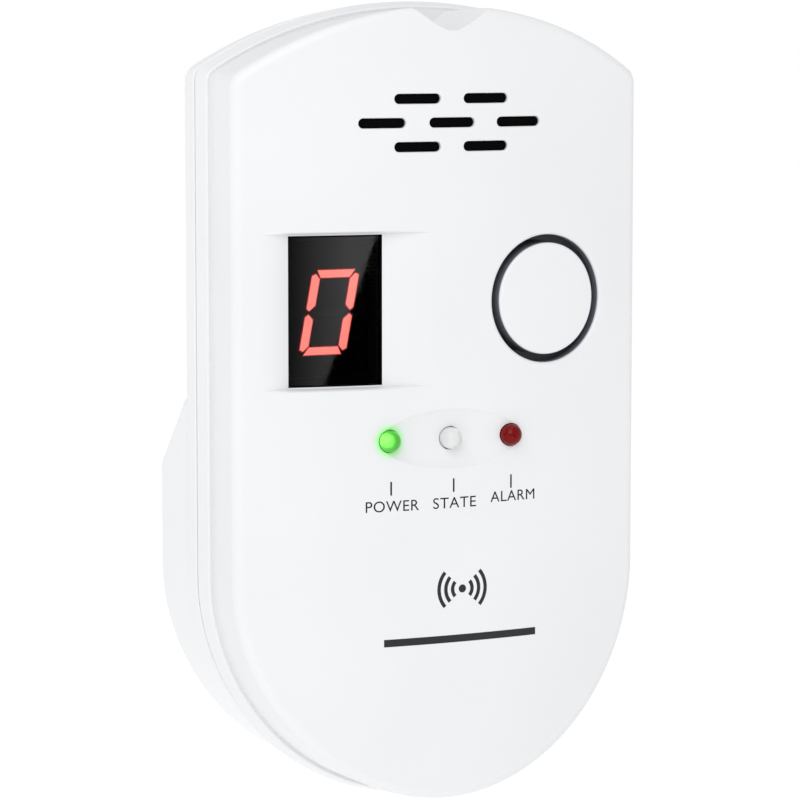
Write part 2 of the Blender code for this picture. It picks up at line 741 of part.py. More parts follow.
def make_front_electronics(parts, cutters, finishes):
    board_face = MAIN_BOARD_DEPTH - REST_GAP
    x, z = DISPLAY_CENTRE
    wide, tall = DISPLAY_SIZE
    block(
        "digit_display",
        (x - wide / 2, DISPLAY_FACE, z - tall / 2),
        (x + wide / 2, board_face, z + tall / 2),
        parts,
        finishes["black"],
    )

    switch_face = 10.3
    low = (BUTTON_X - 3.0, switch_face, BUTTON_Z - 3.0)
    high = (BUTTON_X + 3.0, board_face, BUTTON_Z + 3.0)
    switch = block("tact_switch_body", low, high, parts, finishes["black"])
    bore = rod("plunger_bore", 2.0, 9.0, 12.9, BUTTON_X, BUTTON_Z, cutters, segments=20)
    boolean(switch, [bore], "DIFFERENCE")
    rod("tact_switch_plunger", 1.7, 9.3, 12.0, BUTTON_X, BUTTON_Z, parts, finishes["black"], segments=20)

    base = [(0.0, 3.4), (7.6, 3.4), (8.3, 2.9), (8.3, 0.0), (0.0, 0.0)]
    turned("sensor_base", base, SENSOR_X, board_face, SENSOR_Z, parts, finishes["bakelite"])
    cap = [(0.0, 5.4), (4.6, 5.4), (5.8, 4.9), (6.2, 3.8), (6.2, 0.6), (7.0, 0.4), (7.0, 0.0), (0.0, 0.0)]
    cap_depth = board_face - 3.4 - REST_GAP
    turned("sensor_cap", cap, SENSOR_X, cap_depth, SENSOR_Z, parts, finishes["steel"])

    case = [
        (2.0, 8.5),
        (10.4, 8.5),
        (11.0, 7.9),
        (11.0, 0.0),
        (9.8, 0.0),
        (9.8, 4.6),
        (8.6, 4.6),
        (8.6, 7.3),
        (2.0, 7.3),
        (2.0, 8.5),
    ]
    turned("buzzer_case", case, BUZZER_X, board_face, BUZZER_Z, parts, finishes["black"], segments=32)
    disc = [(0.0, 0.6), (9.5, 0.6), (9.5, 0.0), (0.0, 0.0)]
    turned("buzzer_disc", disc, BUZZER_X, board_face - 3.7, BUZZER_Z, parts, finishes["brass"], segments=32)
    wide, tall = MESH_SIZE
    low = (-wide / 2, MESH_DEPTHS[0], SLOT_MIDDLE_Z - tall / 2)
    high = (wide / 2, MESH_DEPTHS[1], SLOT_MIDDLE_Z + tall / 2)
    bent_to_face(strips("dust_mesh", low, high, 8, parts, finishes["mesh"]))
    block("mcu_chip", (-6.5, board_face - 1.6, -24.0), (3.5, board_face, -17.0), parts, finishes["black"])


def make_power_electronics(parts, cutters, finishes):
    base = POWER_BOARD_DEPTH - REST_GAP
    link_front = MAIN_BOARD_DEPTH + BOARD_THICKNESS + REST_GAP
    block("board_link_header", (-18.5, link_front, -29.3), (-8.5, base, -26.7), parts, finishes["black"])

    core = block("transformer_core", (-16.0, 16.2, -23.0), (0.0, base, -15.0), parts, finishes["ferrite"])
    window = block("core_window", (-13.6, 17.9, -24.0), (-2.4, 22.4, -14.0), cutters)
    boolean(core, [window], "DIFFERENCE")
    low = (-13.6 + REST_GAP, 17.9 + REST_GAP, -24.4)
    high = (-2.4 - REST_GAP, 22.4 - REST_GAP, -13.6)
    block("transformer_coil", low, high, parts, finishes["coil"])
    block("film_capacitor", (4.5, 16.4, -39.2), (15.5, base, -33.6), parts, finishes["film"])

    lying = (0.0, math.pi / 2, 0.0)
    can = [(0.0, 11.0), (3.4, 11.0), (3.9, 10.5), (3.9, 0.4), (3.5, 0.0), (0.0, 0.0)]
    turned("smoothing_capacitor", can, -13.4, base - 3.9, -37.5, parts, finishes["can"], rotation=lying)
    pill = [(0.0, 3.2), (3.2, 3.2), (3.8, 2.5), (3.8, 0.7), (3.2, 0.0), (0.0, 0.0)]
    turned("varistor", pill, 10.4, base - 3.8, -26.8, parts, finishes["varistor"], rotation=lying)
    fuse = [(0.0, 8.5), (1.7, 8.5), (1.7, 0.0), (0.0, 0.0)]
    turned("fuse", fuse, 18.0, base - 1.7, -31.2, parts, finishes["fuse"], segments=16, rotation=(0, 0, 0))
    drum = [
        (0.0, 7.4), (3.2, 7.4), (3.2, 6.4), (2.5, 6.2), (2.5, 1.2), (3.2, 1.0), (3.2, 0.0), (0.0, 0.0)
    ]
    turned("choke", drum, 8.0, base, -18.5, parts, finishes["ferrite"], segments=20)


def make_finishes():
    return {
        "front": material("front_cover_plastic", (0.9, 0.91, 0.93), 0.38),
        "rear": material("rear_cover_plastic", (0.88, 0.89, 0.91), 0.42),
        "window": material("smoked_window", (0.012, 0.013, 0.014), 0.06),
        "button": material("button_plastic", (0.9, 0.91, 0.92), 0.35),
        "green": material("green_lamp", (0.1, 0.9, 0.08), 0.12, emission=1.5),
        "clear": material("clear_lamp", (0.85, 0.87, 0.88), 0.08),
        "red": material("red_lamp", (0.35, 0.0, 0.0), 0.12),
        "spacer": material("white_spacer", (0.8, 0.8, 0.78), 0.5),
        "blade": material("nickel_plated_brass", (0.75, 0.72, 0.66), 0.22, 1.0),
        "screw": material("zinc_plated_steel", (0.62, 0.63, 0.65), 0.3, 1.0),
        "board": material("green_circuit_board", (0.03, 0.2, 0.08), 0.4),
        "black": material("black_component", (0.02, 0.02, 0.022), 0.45),
        "retainer": material("grey_retainer", (0.5, 0.51, 0.53), 0.55),
        "bakelite": material("brown_bakelite", (0.1, 0.045, 0.02), 0.4),
        "steel": material("stainless_mesh", (0.6, 0.61, 0.62), 0.35, 1.0),
        "brass": material("brass_disc", (0.8, 0.58, 0.25), 0.3, 1.0),
        "mesh": material("black_dust_mesh", (0.01, 0.01, 0.01), 0.85),
        "ferrite": material("dark_ferrite", (0.05, 0.05, 0.055), 0.55),
        "coil": material("yellow_coil_tape", (0.8, 0.6, 0.08), 0.4),
        "film": material("yellow_film_case", (0.75, 0.55, 0.08), 0.35),
        "can": material("dark_blue_can_sleeve", (0.02, 0.03, 0.12), 0.3),
        "varistor": material("blue_varistor", (0.03, 0.1, 0.4), 0.35),
        "fuse": material("cream_ceramic_fuse", (0.8, 0.76, 0.66), 0.4),
    }


def shade(parts):
    for obj in parts.objects:
        obj.data.shade_smooth()
        obj.data.set_sharp_from_angle(angle=math.radians(30))


def main():
    clear_scene()
    parts = new_collection("gas_alarm")
    cutters = new_collection("cutters", hidden=True)
    finishes = make_finishes()

    make_front_cover(parts, cutters, finishes["front"])
    make_rear_cover(parts, cutters, finishes["rear"])
    make_window(parts, finishes["window"])
    make_test_button(parts, finishes["button"])
    make_lamp("led_power", -LAMP_PITCH, parts, finishes["green"], finishes["spacer"])
    make_lamp("led_state", 0.0, parts, finishes["clear"], finishes["spacer"])
    make_lamp("led_alarm", LAMP_PITCH, parts, finishes["red"], finishes["spacer"])
    make_blade("plug_blade_left", -1, parts, cutters, finishes["blade"])
    make_blade("plug_blade_right", 1, parts, cutters, finishes["blade"])
    make_all_screws(parts, finishes["screw"])
    make_boards(parts, cutters, finishes)
    make_front_electronics(parts, cutters, finishes)
    make_power_electronics(parts, cutters, finishes)
    shade(parts)


main()
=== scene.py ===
import math

import bmesh
import bpy
from mathutils import Matrix, Vector


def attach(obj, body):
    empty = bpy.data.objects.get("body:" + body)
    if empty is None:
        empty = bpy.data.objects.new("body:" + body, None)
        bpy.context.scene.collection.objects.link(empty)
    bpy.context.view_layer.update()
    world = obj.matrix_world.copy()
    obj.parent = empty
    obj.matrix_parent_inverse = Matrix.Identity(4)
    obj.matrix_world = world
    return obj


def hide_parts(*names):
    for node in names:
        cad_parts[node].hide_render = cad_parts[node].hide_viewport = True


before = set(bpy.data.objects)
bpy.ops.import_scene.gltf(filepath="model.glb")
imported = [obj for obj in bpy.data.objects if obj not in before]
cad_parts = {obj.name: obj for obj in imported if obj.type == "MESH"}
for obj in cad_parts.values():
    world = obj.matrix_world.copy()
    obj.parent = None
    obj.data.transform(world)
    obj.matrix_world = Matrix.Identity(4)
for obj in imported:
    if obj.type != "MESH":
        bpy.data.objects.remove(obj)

# Looks of the plug-in gas alarm. Pieces are modelled in millimetres and finished() brings them to metres. A
# place is given as (x, depth, z): depth is measured back from the foremost line of the front face, and z
# from the middle of the face's outline. A housing layer is (depth, offset), offset being how far it stands
# out from the face's outline.

TO_METRES = 0.001
SMOKE = 0.16  # the share of the light that the display window lets through
LIT_STRENGTH = 1.1 / SMOKE
BODY_DEPTH = 32.0
PLUG_Z = -30.0
BLADE_X = 6.35
FACE_RADIUS = 127.8  # the front face is part of a cylinder about a vertical axis
BEND_START = 3.0  # down to this depth a piece follows the face fully, and from BEND_END on not at all
BEND_END = 6.5

FACE_HALF_WIDTH = 32.7
TOP_APEX = 58.3
TOP_SHOULDER = 48.17
CORNER_RADIUS = 2.6
STRAIGHT_END = -24.95
LOWER_APEX = -58.1
LOWER_EXPONENT = 1.93
TOP_FALL = 1.0
COLUMNS = 128

LEDGE_DEPTH = 11.5
SEAM_DEPTH = 14.4
SEAM_GAP = 0.48
CASE_DEPTH = 20.5
CASE_OFFSET = 1.38
CASE_EDGE_ROUND = 2.2
BLOCK_EDGE_ROUND = 2.0
RAMP_TOP_Z = 1.3
RAMP_ROUND = 6.0
REAR_WALL = 2.0
RAMP_WALL = 0.83  # how much lower the hollow's ramp starts, for a wall of REAR_WALL along the slope

SLOT_PITCH = 10.95
SLOT_LENGTH = 7.28
SLOT_HEIGHT = 1.45
SLOT_ROW_SPACING = 3.46
SLOT_MIDDLE_Z = 41.5
BUTTON_X, BUTTON_Z = 16.1, 15.35
BUTTON_RADIUS = 8.25
BUTTON_HOLE_RADIUS = 9.45
LAMP_PITCH = 9.87
LAMP_Z = -4.5
LAMP_RADIUS = 1.6
LAMP_FRONT = -0.4  # the height of the dome's widest ring over the face
WINDOW_X = (-24.3, -10.55)
WINDOW_Z = (3.76, 25.36)
WINDOW_DEPTH = 1.5
SCOOP_X = (-29.0, -2.9)
DISPLAY_FACE = 5.5
DISPLAY_BODY_X, DISPLAY_BODY_Z = -17.3, 14.5
DISPLAY_X, DISPLAY_Z = -17.33, 14.23
CASE_SCREWS = {
    "case_screw_top_left": (-26.0, 44.0),
    "case_screw_top_right": (26.0, 44.0),
    "case_screw_bottom_left": (-17.0, -45.5),
    "case_screw_bottom_right": (17.0, -45.5),
}
CASE_SCREW_SEAT = 18.1

FACING_FRONT = (math.pi / 2, 0.0, 0.0)
FACING_BACK = (-math.pi / 2, 0.0, 0.0)

INK_DEPTHS = (-0.012, 0.03)
TICK_WIDTH, TICK_BOTTOM, TICK_TOP = 0.26, -12.4, -10.4
TICKS = {"power": -9.69, "state": 0.25, "alarm": 9.85}
LEGENDS = {  # left, right, foot and height of each word
    "POWER": (-13.6, -5.33, -14.78, 1.6),
    "STATE": (-3.07, 3.92, -14.76, 1.6),
    "ALARM": (6.36, 13.95, -14.31, 1.55),
}
SIGN_X, SIGN_Z = 1.7, -26.8
BAR_X, BAR_Z = (-10.8, 14.2), (-34.7, -33.6)

CAMERA_AZIMUTH = math.radians(25.417)
CAMERA_ELEVATION = math.radians(6.335)
CAMERA_DISTANCE = 507.59
CAMERA_LENS = 157.77
CAMERA_TARGET = (-8.446, 0.0, 1.534)

HORIZON_LIGHT = 1.05  # the sky's strength in a band round the horizon, SKY_LIGHT above it
SKY_LIGHT = 0.7
FLOOR_GLOW = 0.35
KEY_POWER = 5.8
OVERHEAD_POWER = 1.4

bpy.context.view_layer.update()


# ------------ places and plain helpers


def place(x, depth, z):
    return Vector((x, depth - BODY_DEPTH, z - PLUG_Z))


def new_object(name, bm, finish=None):
    bmesh.ops.recalc_face_normals(bm, faces=bm.faces)
    mesh = bpy.data.meshes.new(name)
    bm.to_mesh(mesh)
    bm.free()
    obj = bpy.data.objects.new(name, mesh)
    bpy.context.scene.collection.objects.link(obj)
    if finish is not None:
        mesh.materials.append(finish)
    return obj


def baked(obj):
    """Writes the modifiers and the placing into the mesh."""
    bpy.context.view_layer.update()
    evaluated = obj.evaluated_get(bpy.context.evaluated_depsgraph_get())
    mesh = bpy.data.meshes.new_from_object(evaluated)
    mesh.transform(obj.matrix_world)
    obj.modifiers.clear()
    obj.data = mesh
    obj.matrix_world = Matrix.Identity(4)
    return obj


def bent_to_face(obj):
    """Bends what was made for a flat front so that it follows the curved one."""
    baked(obj)
    for vertex in obj.data.vertices:
        depth = vertex.co.y + BODY_DEPTH
        share = min(max((BEND_END - depth) / (BEND_END - BEND_START), 0.0), 1.0)
        vertex.co.y += share * vertex.co.x**2 / (2 * FACE_RADIUS)
    return obj


def finished(obj, angle=32.0, weighted=False):
    """Brings a piece to metres and shades it smooth between its sharp edges."""
    baked(obj)
    obj.data.transform(Matrix.Scale(TO_METRES, 4))
    obj.data.shade_smooth()
    obj.data.set_sharp_from_angle(angle=math.radians(angle))
    if weighted:
        normals = obj.modifiers.new("Normals", "WEIGHTED_NORMAL")
        normals.keep_sharp = True
        normals.weight = 80
    return obj


def cut(obj, cutters):
    """Cuts the cutters out of the object one after another and removes them."""
    return combined(obj, cutters, "DIFFERENCE")


def combined(obj, others, operation):
    for other in others:
        modifier = obj.modifiers.new(other.name, "BOOLEAN")
        modifier.operation = operation
        modifier.solver = "EXACT"
        modifier.object = other
    baked(obj)
    for other in others:
        bpy.data.objects.remove(other)
    return obj


def bridge(bm, rings):
    """Joins each ring of vertices to the next with four-sided faces."""
    for near, far in zip(rings, rings[1:]):
        for i in range(len(near)):
            j = (i + 1) % len(near)
            bm.faces.new((near[i], near[j], far[j], far[i]))


def striped_end(bm, ring):
    """Closes a ring, whose two halves face each other, with upright strips."""
    last = len(ring) - 1
    for i in range(len(ring) // 2 - 1):
        bm.faces.new((ring[i], ring[i + 1], ring[last - 1 - i], ring[last - i]))


def skinned(name, rings, finish=None):
    """A solid skinned through rings of places, each with the same number of points."""
    bm = bmesh.new()
    made = [[bm.verts.new(point) for point in ring] for ring in rings]
    bridge(bm, made)
    bm.faces.new(made[0])
    bm.faces.new(made[-1])
    return new_object(name, bm, finish)


def turned(name, profile, x, depth, z, finish=None, segments=64, rotation=FACING_FRONT):
    """A turned solid from (radius, height) points, height being towards the viewer of its front end."""
    bm = bmesh.new()
    rings = []
    for radius, height in profile:
        if radius == 0.0:
            rings.append([bm.verts.new((0.0, 0.0, height))])
            continue
        ring = []
        for i in range(segments):
            angle = 2 * math.pi * i / segments
            ring.append(bm.verts.new((radius * math.cos(angle), radius * math.sin(angle), height)))
        rings.append(ring)
    for upper, lower in zip(rings, rings[1:]):
        for i in range(segments):
            j = (i + 1) % segments
            above = [upper[i % len(upper)], upper[j % len(upper)]]
            below = [lower[j % len(lower)], lower[i % len(lower)]]
            unique = list(dict.fromkeys(above + below))
            if len(unique) > 2:
                bm.faces.new(unique)
    obj = new_object(name, bm, finish)
    obj.location = place(x, depth, z)
    obj.rotation_euler = rotation
    return obj


def arc(x, z, radius, start, end, steps):
    angles = [math.radians(start + (end - start) * i / steps) for i in range(steps + 1)]
    return [(x + radius * math.cos(a), z + radius * math.sin(a)) for a in angles]


def circle(x, z, radius, steps):
    return arc(x, z, radius, 0, 360, steps)[:-1]


def rectangle(x0, x1, z0, z1):
    return [(x0, z0), (x1, z0), (x1, z1), (x0, z1)]


def prism(name, outline, depths, finish=None):
    """An (x, z) outline given a thickness between two depths."""
    rings = [[place(x, depth, z) for x, z in outline] for depth in depths]
    return skinned(name, rings, finish)


def spread(low, high, count):
    return [low + (high - low) * i / count for i in range(count + 1)]


def striped_block(name, layers, count, finish=None):
    """A block through layers of (depth, (x0, x1), (z0, z1)). Its ends are upright strips, so that it bends
    smoothly with the face."""
    bm = bmesh.new()
    made = []
    for depth, (x0, x1), (z0, z1) in layers:
        xs = spread(x0, x1, count)
        ring = [(x, z0) for x in xs] + [(x, z1) for x in reversed(xs)]
        made.append([bm.verts.new(place(x, depth, z)) for x, z in ring])
    bridge(bm, made)
    striped_end(bm, made[0])
    striped_end(bm, made[-1])
    return new_object(name, bm, finish)


# ------------ materials


class Nodes:
    """A short way to build a node material on Principled."""

    def __init__(self, name, colour, roughness, metallic=0.0):
        self.material = bpy.data.materials.new(name)
        self.material.use_nodes = True
        self.tree = self.material.node_tree
        self.shader = self.tree.nodes["Principled BSDF"]
        self.shader.inputs["Base Color"].default_value = (*colour, 1.0)
        self.shader.inputs["Roughness"].default_value = roughness
        self.shader.inputs["Metallic"].default_value = metallic
        self.place = self.add("ShaderNodeTexCoord").outputs["Object"]

    def add(self, kind, **settings):
        node = self.tree.nodes.new(kind)
        for key, value in settings.items():
            setattr(node, key, value)
        return node

    def link(self, output, socket):
        self.tree.links.new(output, socket)

    def noise(self, scale, detail=3.0, stretch=(1.0, 1.0, 1.0)):
        mapping = self.add("ShaderNodeMapping")
        mapping.inputs["Scale"].default_value = stretch
        noise = self.add("ShaderNodeTexNoise")
        noise.inputs["Scale"].default_value = scale
        noise.inputs["Detail"].default_value = detail
        self.link(self.place, mapping.inputs["Vector"])
        self.link(mapping.outputs["Vector"], noise.inputs["Vector"])
        return noise.outputs["Fac"]

    def axes(self):
        """The outputs X, Y and Z of the place on the object."""
        split = self.add("ShaderNodeSeparateXYZ")
        self.link(self.place, split.inputs["Vector"])
        return split.outputs

    def ramped(self, value, low, high, start=0.35, end=0.65, interpolation="LINEAR"):
        """Turns a value that runs from start to end into one between low and high."""
        spread_out = self.add("ShaderNodeMapRange", interpolation_type=interpolation)
        spread_out.inputs["From Min"].default_value = start
        spread_out.inputs["From Max"].default_value = end
        spread_out.inputs["To Min"].default_value = low
        spread_out.inputs["To Max"].default_value = high
        self.link(value, spread_out.inputs["Value"])
        return spread_out.outputs["Result"]

    def mixed(self, factor, first, second):
        """A colour between two, each a colour or a socket."""
        mix = self.add("ShaderNodeMix", data_type="RGBA")
        for socket, value in ((mix.inputs[6], first), (mix.inputs[7], second)):
            if isinstance(value, tuple):
                socket.default_value = (*value, 1.0)
            else:
                self.link(value, socket)
        self.link(factor, mix.inputs[0])
        return mix.outputs[2]

    def bump(self, height, strength, distance=0.00002):
        bump = self.add("ShaderNodeBump")
        bump.inputs["Strength"].default_value = strength
        bump.inputs["Distance"].default_value = distance
        self.link(height, bump.inputs["Height"])
        self.link(bump.outputs["Normal"], self.shader.inputs["Normal"])

    def colour(self, socket):
        self.link(socket, self.shader.inputs["Base Color"])

    def roughness(self, socket):
        self.link(socket, self.shader.inputs["Roughness"])

    def set(self, **values):
        for name, value in values.items():
            self.shader.inputs[name.replace("_", " ")].default_value = value
        return self


def moulded(name, colour, roughness, grain=2600.0, strength=0.12):
    """Injection-moulded plastic: a fine spark-eroded grain and slight drifts in colour and gloss."""
    made = Nodes(name, colour, roughness)
    fine = made.noise(grain, 2.0)
    broad = made.noise(28.0, 2.0)
    darker = tuple(c * 0.975 for c in colour)
    made.colour(made.mixed(made.ramped(broad, 0.0, 1.0), darker, colour))
    made.roughness(made.ramped(fine, roughness - 0.04, roughness + 0.04))
    made.bump(fine, strength)
    return made


def metal(name, colour, roughness, stretch=(1.0, 1.0, 1.0), scale=900.0):
    made = Nodes(name, colour, roughness, 1.0)
    streaks = made.noise(scale, 4.0, stretch)
    darker = tuple(c * 0.86 for c in colour)
    made.colour(made.mixed(made.ramped(streaks, 0.0, 1.0), darker, colour))
    made.roughness(made.ramped(streaks, roughness - 0.06, roughness + 0.08))
    made.bump(streaks, 0.15, 0.00001)
    return made


def front_plastic():
    """The cover's plastic, with the lit lamp's green glow painted into its colour round the lamp, as far as
    that light spreads in it.
    """
    made = moulded("front_plastic", (0.73, 0.738, 0.75), 0.4)
    lamp = place(-LAMP_PITCH, 0.0, LAMP_Z) * TO_METRES
    near, far = 1.4 * TO_METRES, 3.0 * TO_METRES
    axes = made.axes()
    flat = made.add("ShaderNodeCombineXYZ")
    made.link(axes["X"], flat.inputs["X"])
    made.link(axes["Z"], flat.inputs["Z"])
    distance = made.add("ShaderNodeVectorMath", operation="DISTANCE")
    made.link(flat.outputs["Vector"], distance.inputs[0])
    distance.inputs[1].default_value = (lamp.x, 0.0, lamp.z)
    # Painted light: the lit lamp's green glow, mixed into the base colour and fading out between near and
    # far.
    painted_lamp_glow = made.ramped(distance.outputs["Value"], 0.8, 0.0, near, far, "SMOOTHERSTEP")
    plain = made.shader.inputs["Base Color"].links[0].from_socket
    made.colour(made.mixed(painted_lamp_glow, plain, (0.25, 0.95, 0.2)))
    return made.material


def lens(name, colour, transmission=1.0, roughness=0.03, glow=None, shine=0.5):
    made = Nodes(name, colour, roughness)
    made.set(Transmission_Weight=transmission, IOR=1.5, Specular_IOR_Level=shine)
    made.roughness(made.ramped(made.noise(700.0), roughness, roughness + 0.03))
    if glow is not None:
        made.set(Emission_Color=(*colour, 1.0), Emission_Strength=glow)
    return made.material


def light_material(name, colour, strength):
    made = Nodes(name, colour, 0.4)
    made.set(Emission_Color=(*colour, 1.0))
    flicker = made.ramped(made.noise(900.0), strength * 0.94, strength * 1.04)
    made.link(flicker, made.shader.inputs["Emission Strength"])
    return made.material


def circuit_board():
    """Green solder resist with copper tracks showing through."""
    made = Nodes("circuit_board", (0.02, 0.16, 0.06), 0.32)
    tracks = made.add("ShaderNodeTexBrick")
    tracks.inputs["Scale"].default_value = 420.0
    tracks.inputs["Mortar Size"].default_value = 0.05
    tracks.inputs["Color1"].default_value = (0.0, 0.0, 0.0, 1.0)
    tracks.inputs["Color2"].default_value = (0.35, 0.35, 0.35, 1.0)
    tracks.inputs["Mortar"].default_value = (1.0, 1.0, 1.0, 1.0)
    turn = made.add("ShaderNodeMapping")
    turn.inputs["Rotation"].default_value = (math.pi / 2, 0.0, 0.0)
    made.link(made.place, turn.inputs["Vector"])
    made.link(turn.outputs["Vector"], tracks.inputs["Vector"])
    made.colour(made.mixed(tracks.outputs["Color"], (0.012, 0.12, 0.04), (0.05, 0.3, 0.12)))
    made.bump(tracks.outputs["Color"], 0.4, 0.00004)
    return made.material


def woven(name, colour):
    """A fine dust mesh: two sets of threads crossing."""
    made = Nodes(name, colour, 0.9)
    waves = []
    for direction in ("X", "Z"):
        wave = made.add("ShaderNodeTexWave", bands_direction=direction)
        wave.inputs["Scale"].default_value = 1100.0
        made.link(made.place, wave.inputs["Vector"])
        waves.append(wave.outputs["Fac"])
    weave = made.add("ShaderNodeMath", operation="MAXIMUM")
    made.link(waves[0], weave.inputs[0])
    made.link(waves[1], weave.inputs[1])
    made.colour(made.mixed(weave.outputs["Value"], tuple(c * 0.2 for c in colour), colour))
    made.bump(weave.outputs["Value"], 0.6, 0.0001)
    made.set(Specular_IOR_Level=0.0)
    return made.material


def wound(name, colour):
    """A winding or a taped coil: bands across its length."""
    made = Nodes(name, colour, 0.4)
    wave = made.add("ShaderNodeTexWave", bands_direction="X")
    wave.inputs["Scale"].default_value = 500.0
    wave.inputs["Distortion"].default_value = 0.6
    made.link(made.place, wave.inputs["Vector"])
    made.colour(made.mixed(wave.outputs["Fac"], tuple(c * 0.6 for c in colour), colour))
    made.bump(wave.outputs["Fac"], 0.5, 0.0001)
    return made.material


# ------------ housing outline


def column(offset, depth, share):
    """x, top and bottom of the housing's outline at a depth, at a share (-1 to 1) of its half width: the
    face's outline grown by offset, with the arch sunk a little behind the face."""
    half = FACE_HALF_WIDTH + offset
    x = half * share
    rise = TOP_APEX - TOP_SHOULDER
    radius = (FACE_HALF_WIDTH**2 + rise**2) / (2 * rise) + offset
    centre = TOP_APEX + offset - radius
    corner = max(CORNER_RADIUS + min(offset, 0.0), 0.3)
    corner_x = half - corner
    corner_z = centre + math.sqrt((radius - corner) ** 2 - corner_x**2)
    if abs(x) * (radius - corner) <= corner_x * radius:
        top = centre + math.sqrt(radius**2 - x**2)
    else:
        top = corner_z + math.sqrt(max(corner**2 - (abs(x) - corner_x) ** 2, 0.0))
    back = min(max((depth - 1.0) / (LEDGE_DEPTH - 1.0), 0.0), 1.0)
    top -= TOP_FALL * back * (1.0 - share**2)
    drop = STRAIGHT_END - LOWER_APEX + offset
    reach = max(1.0 - abs(share) ** LOWER_EXPONENT, 0.0) ** (1.0 / LOWER_EXPONENT)
    return x, top, STRAIGHT_END - drop * reach


def outline_columns(offset, depth, ceiling=None, corner=1.5):
    """The outline as upright columns, its top cut off level at a ceiling with rounded corners."""
    shares = [math.sin(math.pi * (i / COLUMNS - 0.5)) for i in range(COLUMNS + 1)]
    columns = []
    for x, top, bottom in (column(offset, depth, share) for share in shares):
        if ceiling is not None:
            inset = max(abs(x) - (FACE_HALF_WIDTH + offset - corner), 0.0)
            drop = corner - math.sqrt(max(corner**2 - inset**2, 0.0))
            top = max(min(top, ceiling - drop), bottom + 0.01)
        columns.append((x, top, bottom))
    return columns


def loft(name, layers, finish=None):
    """A housing solid through layers of (depth, offset) or (depth, offset, ceiling)."""
    bm = bmesh.new()
    rings = []
    for depth, offset, *ceiling in layers:
        columns = outline_columns(offset, depth, *ceiling)
        points = [(x, top) for x, top, _ in columns] + [(x, bottom) for x, _, bottom in reversed(columns)]
        rings.append([bm.verts.new(place(x, depth, z)) for x, z in points])
    bridge(bm, rings)
    striped_end(bm, rings[0])
    striped_end(bm, rings[-1])
    return new_object(name, bm, finish)


def rounded(depth, offset, radius, turn, steps):
    """Layers round an outer edge. turn is (start, end) in degrees, 0 being outwards and 90 backwards."""
    start, end = turn
    layers = []
    for i in range(steps + 1):
        angle = math.radians(start + (end - start) * i / steps)
        layers.append((depth + radius * math.sin(angle), offset + radius * math.cos(angle)))
    return layers


# ------------ front cover


def flare(radius):
    """(depth, growth) of a rounded hole edge, from just above the face down to the straight wall."""
    steps, start = 6, 10.0
    layers = []
    for i in range(steps + 1):
        angle = math.radians(start + (90.0 - start) * i / steps)
        layers.append((radius * (1 - math.cos(angle)), radius * (1 - math.sin(angle))))
    return [(-0.6, layers[0][1] + 0.12)] + layers


def stacked(name, outline, layers, centre, finish=None):
    """A solid through layers of (depth, growth). outline(growth) gives (x, z) points about the centre."""
    x, z = centre
    rings = [[place(x + u, depth, z + v) for u, v in outline(growth)] for depth, growth in layers]
    return skinned(name, rings, finish)


def slot_outline(growth):
    radius = SLOT_HEIGHT / 2 + growth
    reach = (SLOT_LENGTH - SLOT_HEIGHT) / 2
    return arc(reach, 0.0, radius, -90, 90, 10) + arc(-reach, 0.0, radius, 90, 270, 10)


def button_outline(growth):
    return circle(0.0, 0.0, BUTTON_HOLE_RADIUS + growth, 128)


def height_cutter(name, xs, zs, depth_at):
    """A cutter whose underside is a relief: depth_at(x, z) below the flat face."""
    bm = bmesh.new()
    floor = [[bm.verts.new(place(x, depth_at(x, z), z)) for x in xs] for z in zs]
    lid = [[bm.verts.new(place(x, -1.0, z)) for x in xs] for z in zs]
    for sheet in (floor, lid):
        for low, high in zip(sheet, sheet[1:]):
            for i in range(len(xs) - 1):
                bm.faces.new((low[i], low[i + 1], high[i + 1], high[i]))
    rim = []
    for sheet in (floor, lid):
        bottom, top = sheet[0], sheet[-1]
        right = [row[-1] for row in sheet[1:-1]]
        left = [row[0] for row in sheet[1:-1]]
        rim.append(bottom + right + top[::-1] + left[::-1])
    bridge(bm, rim)
    return new_object(name, bm)


def scoop_cutter():
    """The hollow the display window sits in: rolled flanks at its sides, rounded walls above and below."""
    wall = 0.55

    def flank(x):
        if x <= WINDOW_X[0]:
            share = (x - SCOOP_X[0]) / (WINDOW_X[0] - SCOOP_X[0])
            return 0.25 * share + 0.75 * share**2
        if x >= WINDOW_X[1]:
            share = (x - SCOOP_X[1]) / (WINDOW_X[1] - SCOOP_X[1])
            return 0.5 * share + 0.5 * share**2
        return 1.0

    def depth_at(x, z):
        past = max(WINDOW_Z[0] - 0.3 - z, z - WINDOW_Z[1] - 0.3, 0.0) / wall
        ends = max(1.0 - math.sqrt(max(1.0 - (1.0 - min(past, 1.0)) ** 2, 0.0)), 0.0) if past > 0 else 1.0
        return WINDOW_DEPTH * max(flank(x), -0.2) * ends - 0.015

    xs = (
        spread(SCOOP_X[0] - 0.3, WINDOW_X[0], 14)
        + spread(WINDOW_X[0], WINDOW_X[1], 12)[1:]
        + spread(WINDOW_X[1], SCOOP_X[1] + 0.3, 16)[1:]
    )
    lift = [wall * share for share in (0.02, 0.08, 0.18, 0.3, 0.45, 0.62, 0.8, 1.0)]
    bottom = [WINDOW_Z[0] - 0.3 - rise for rise in reversed(lift)]
    top = [WINDOW_Z[1] + 0.3 + rise for rise in lift]
    zs = bottom + spread(WINDOW_Z[0] - 0.3, WINDOW_Z[1] + 0.3, 6) + top
    return height_cutter("scoop", xs, zs, depth_at)


def slot_places():
    """The middles of the seven inlet slots, in rows of two, three and two."""
    for row, places in ((1, (-0.5, 0.5)), (0, (-1, 0, 1)), (-1, (-0.5, 0.5))):
        for across in places:
            yield across * SLOT_PITCH, SLOT_MIDDLE_Z + row * SLOT_ROW_SPACING


def window_outline(growth):
    return rectangle(
        WINDOW_X[0] - growth, WINDOW_X[1] + growth, WINDOW_Z[0] - growth, WINDOW_Z[1] + growth
    )


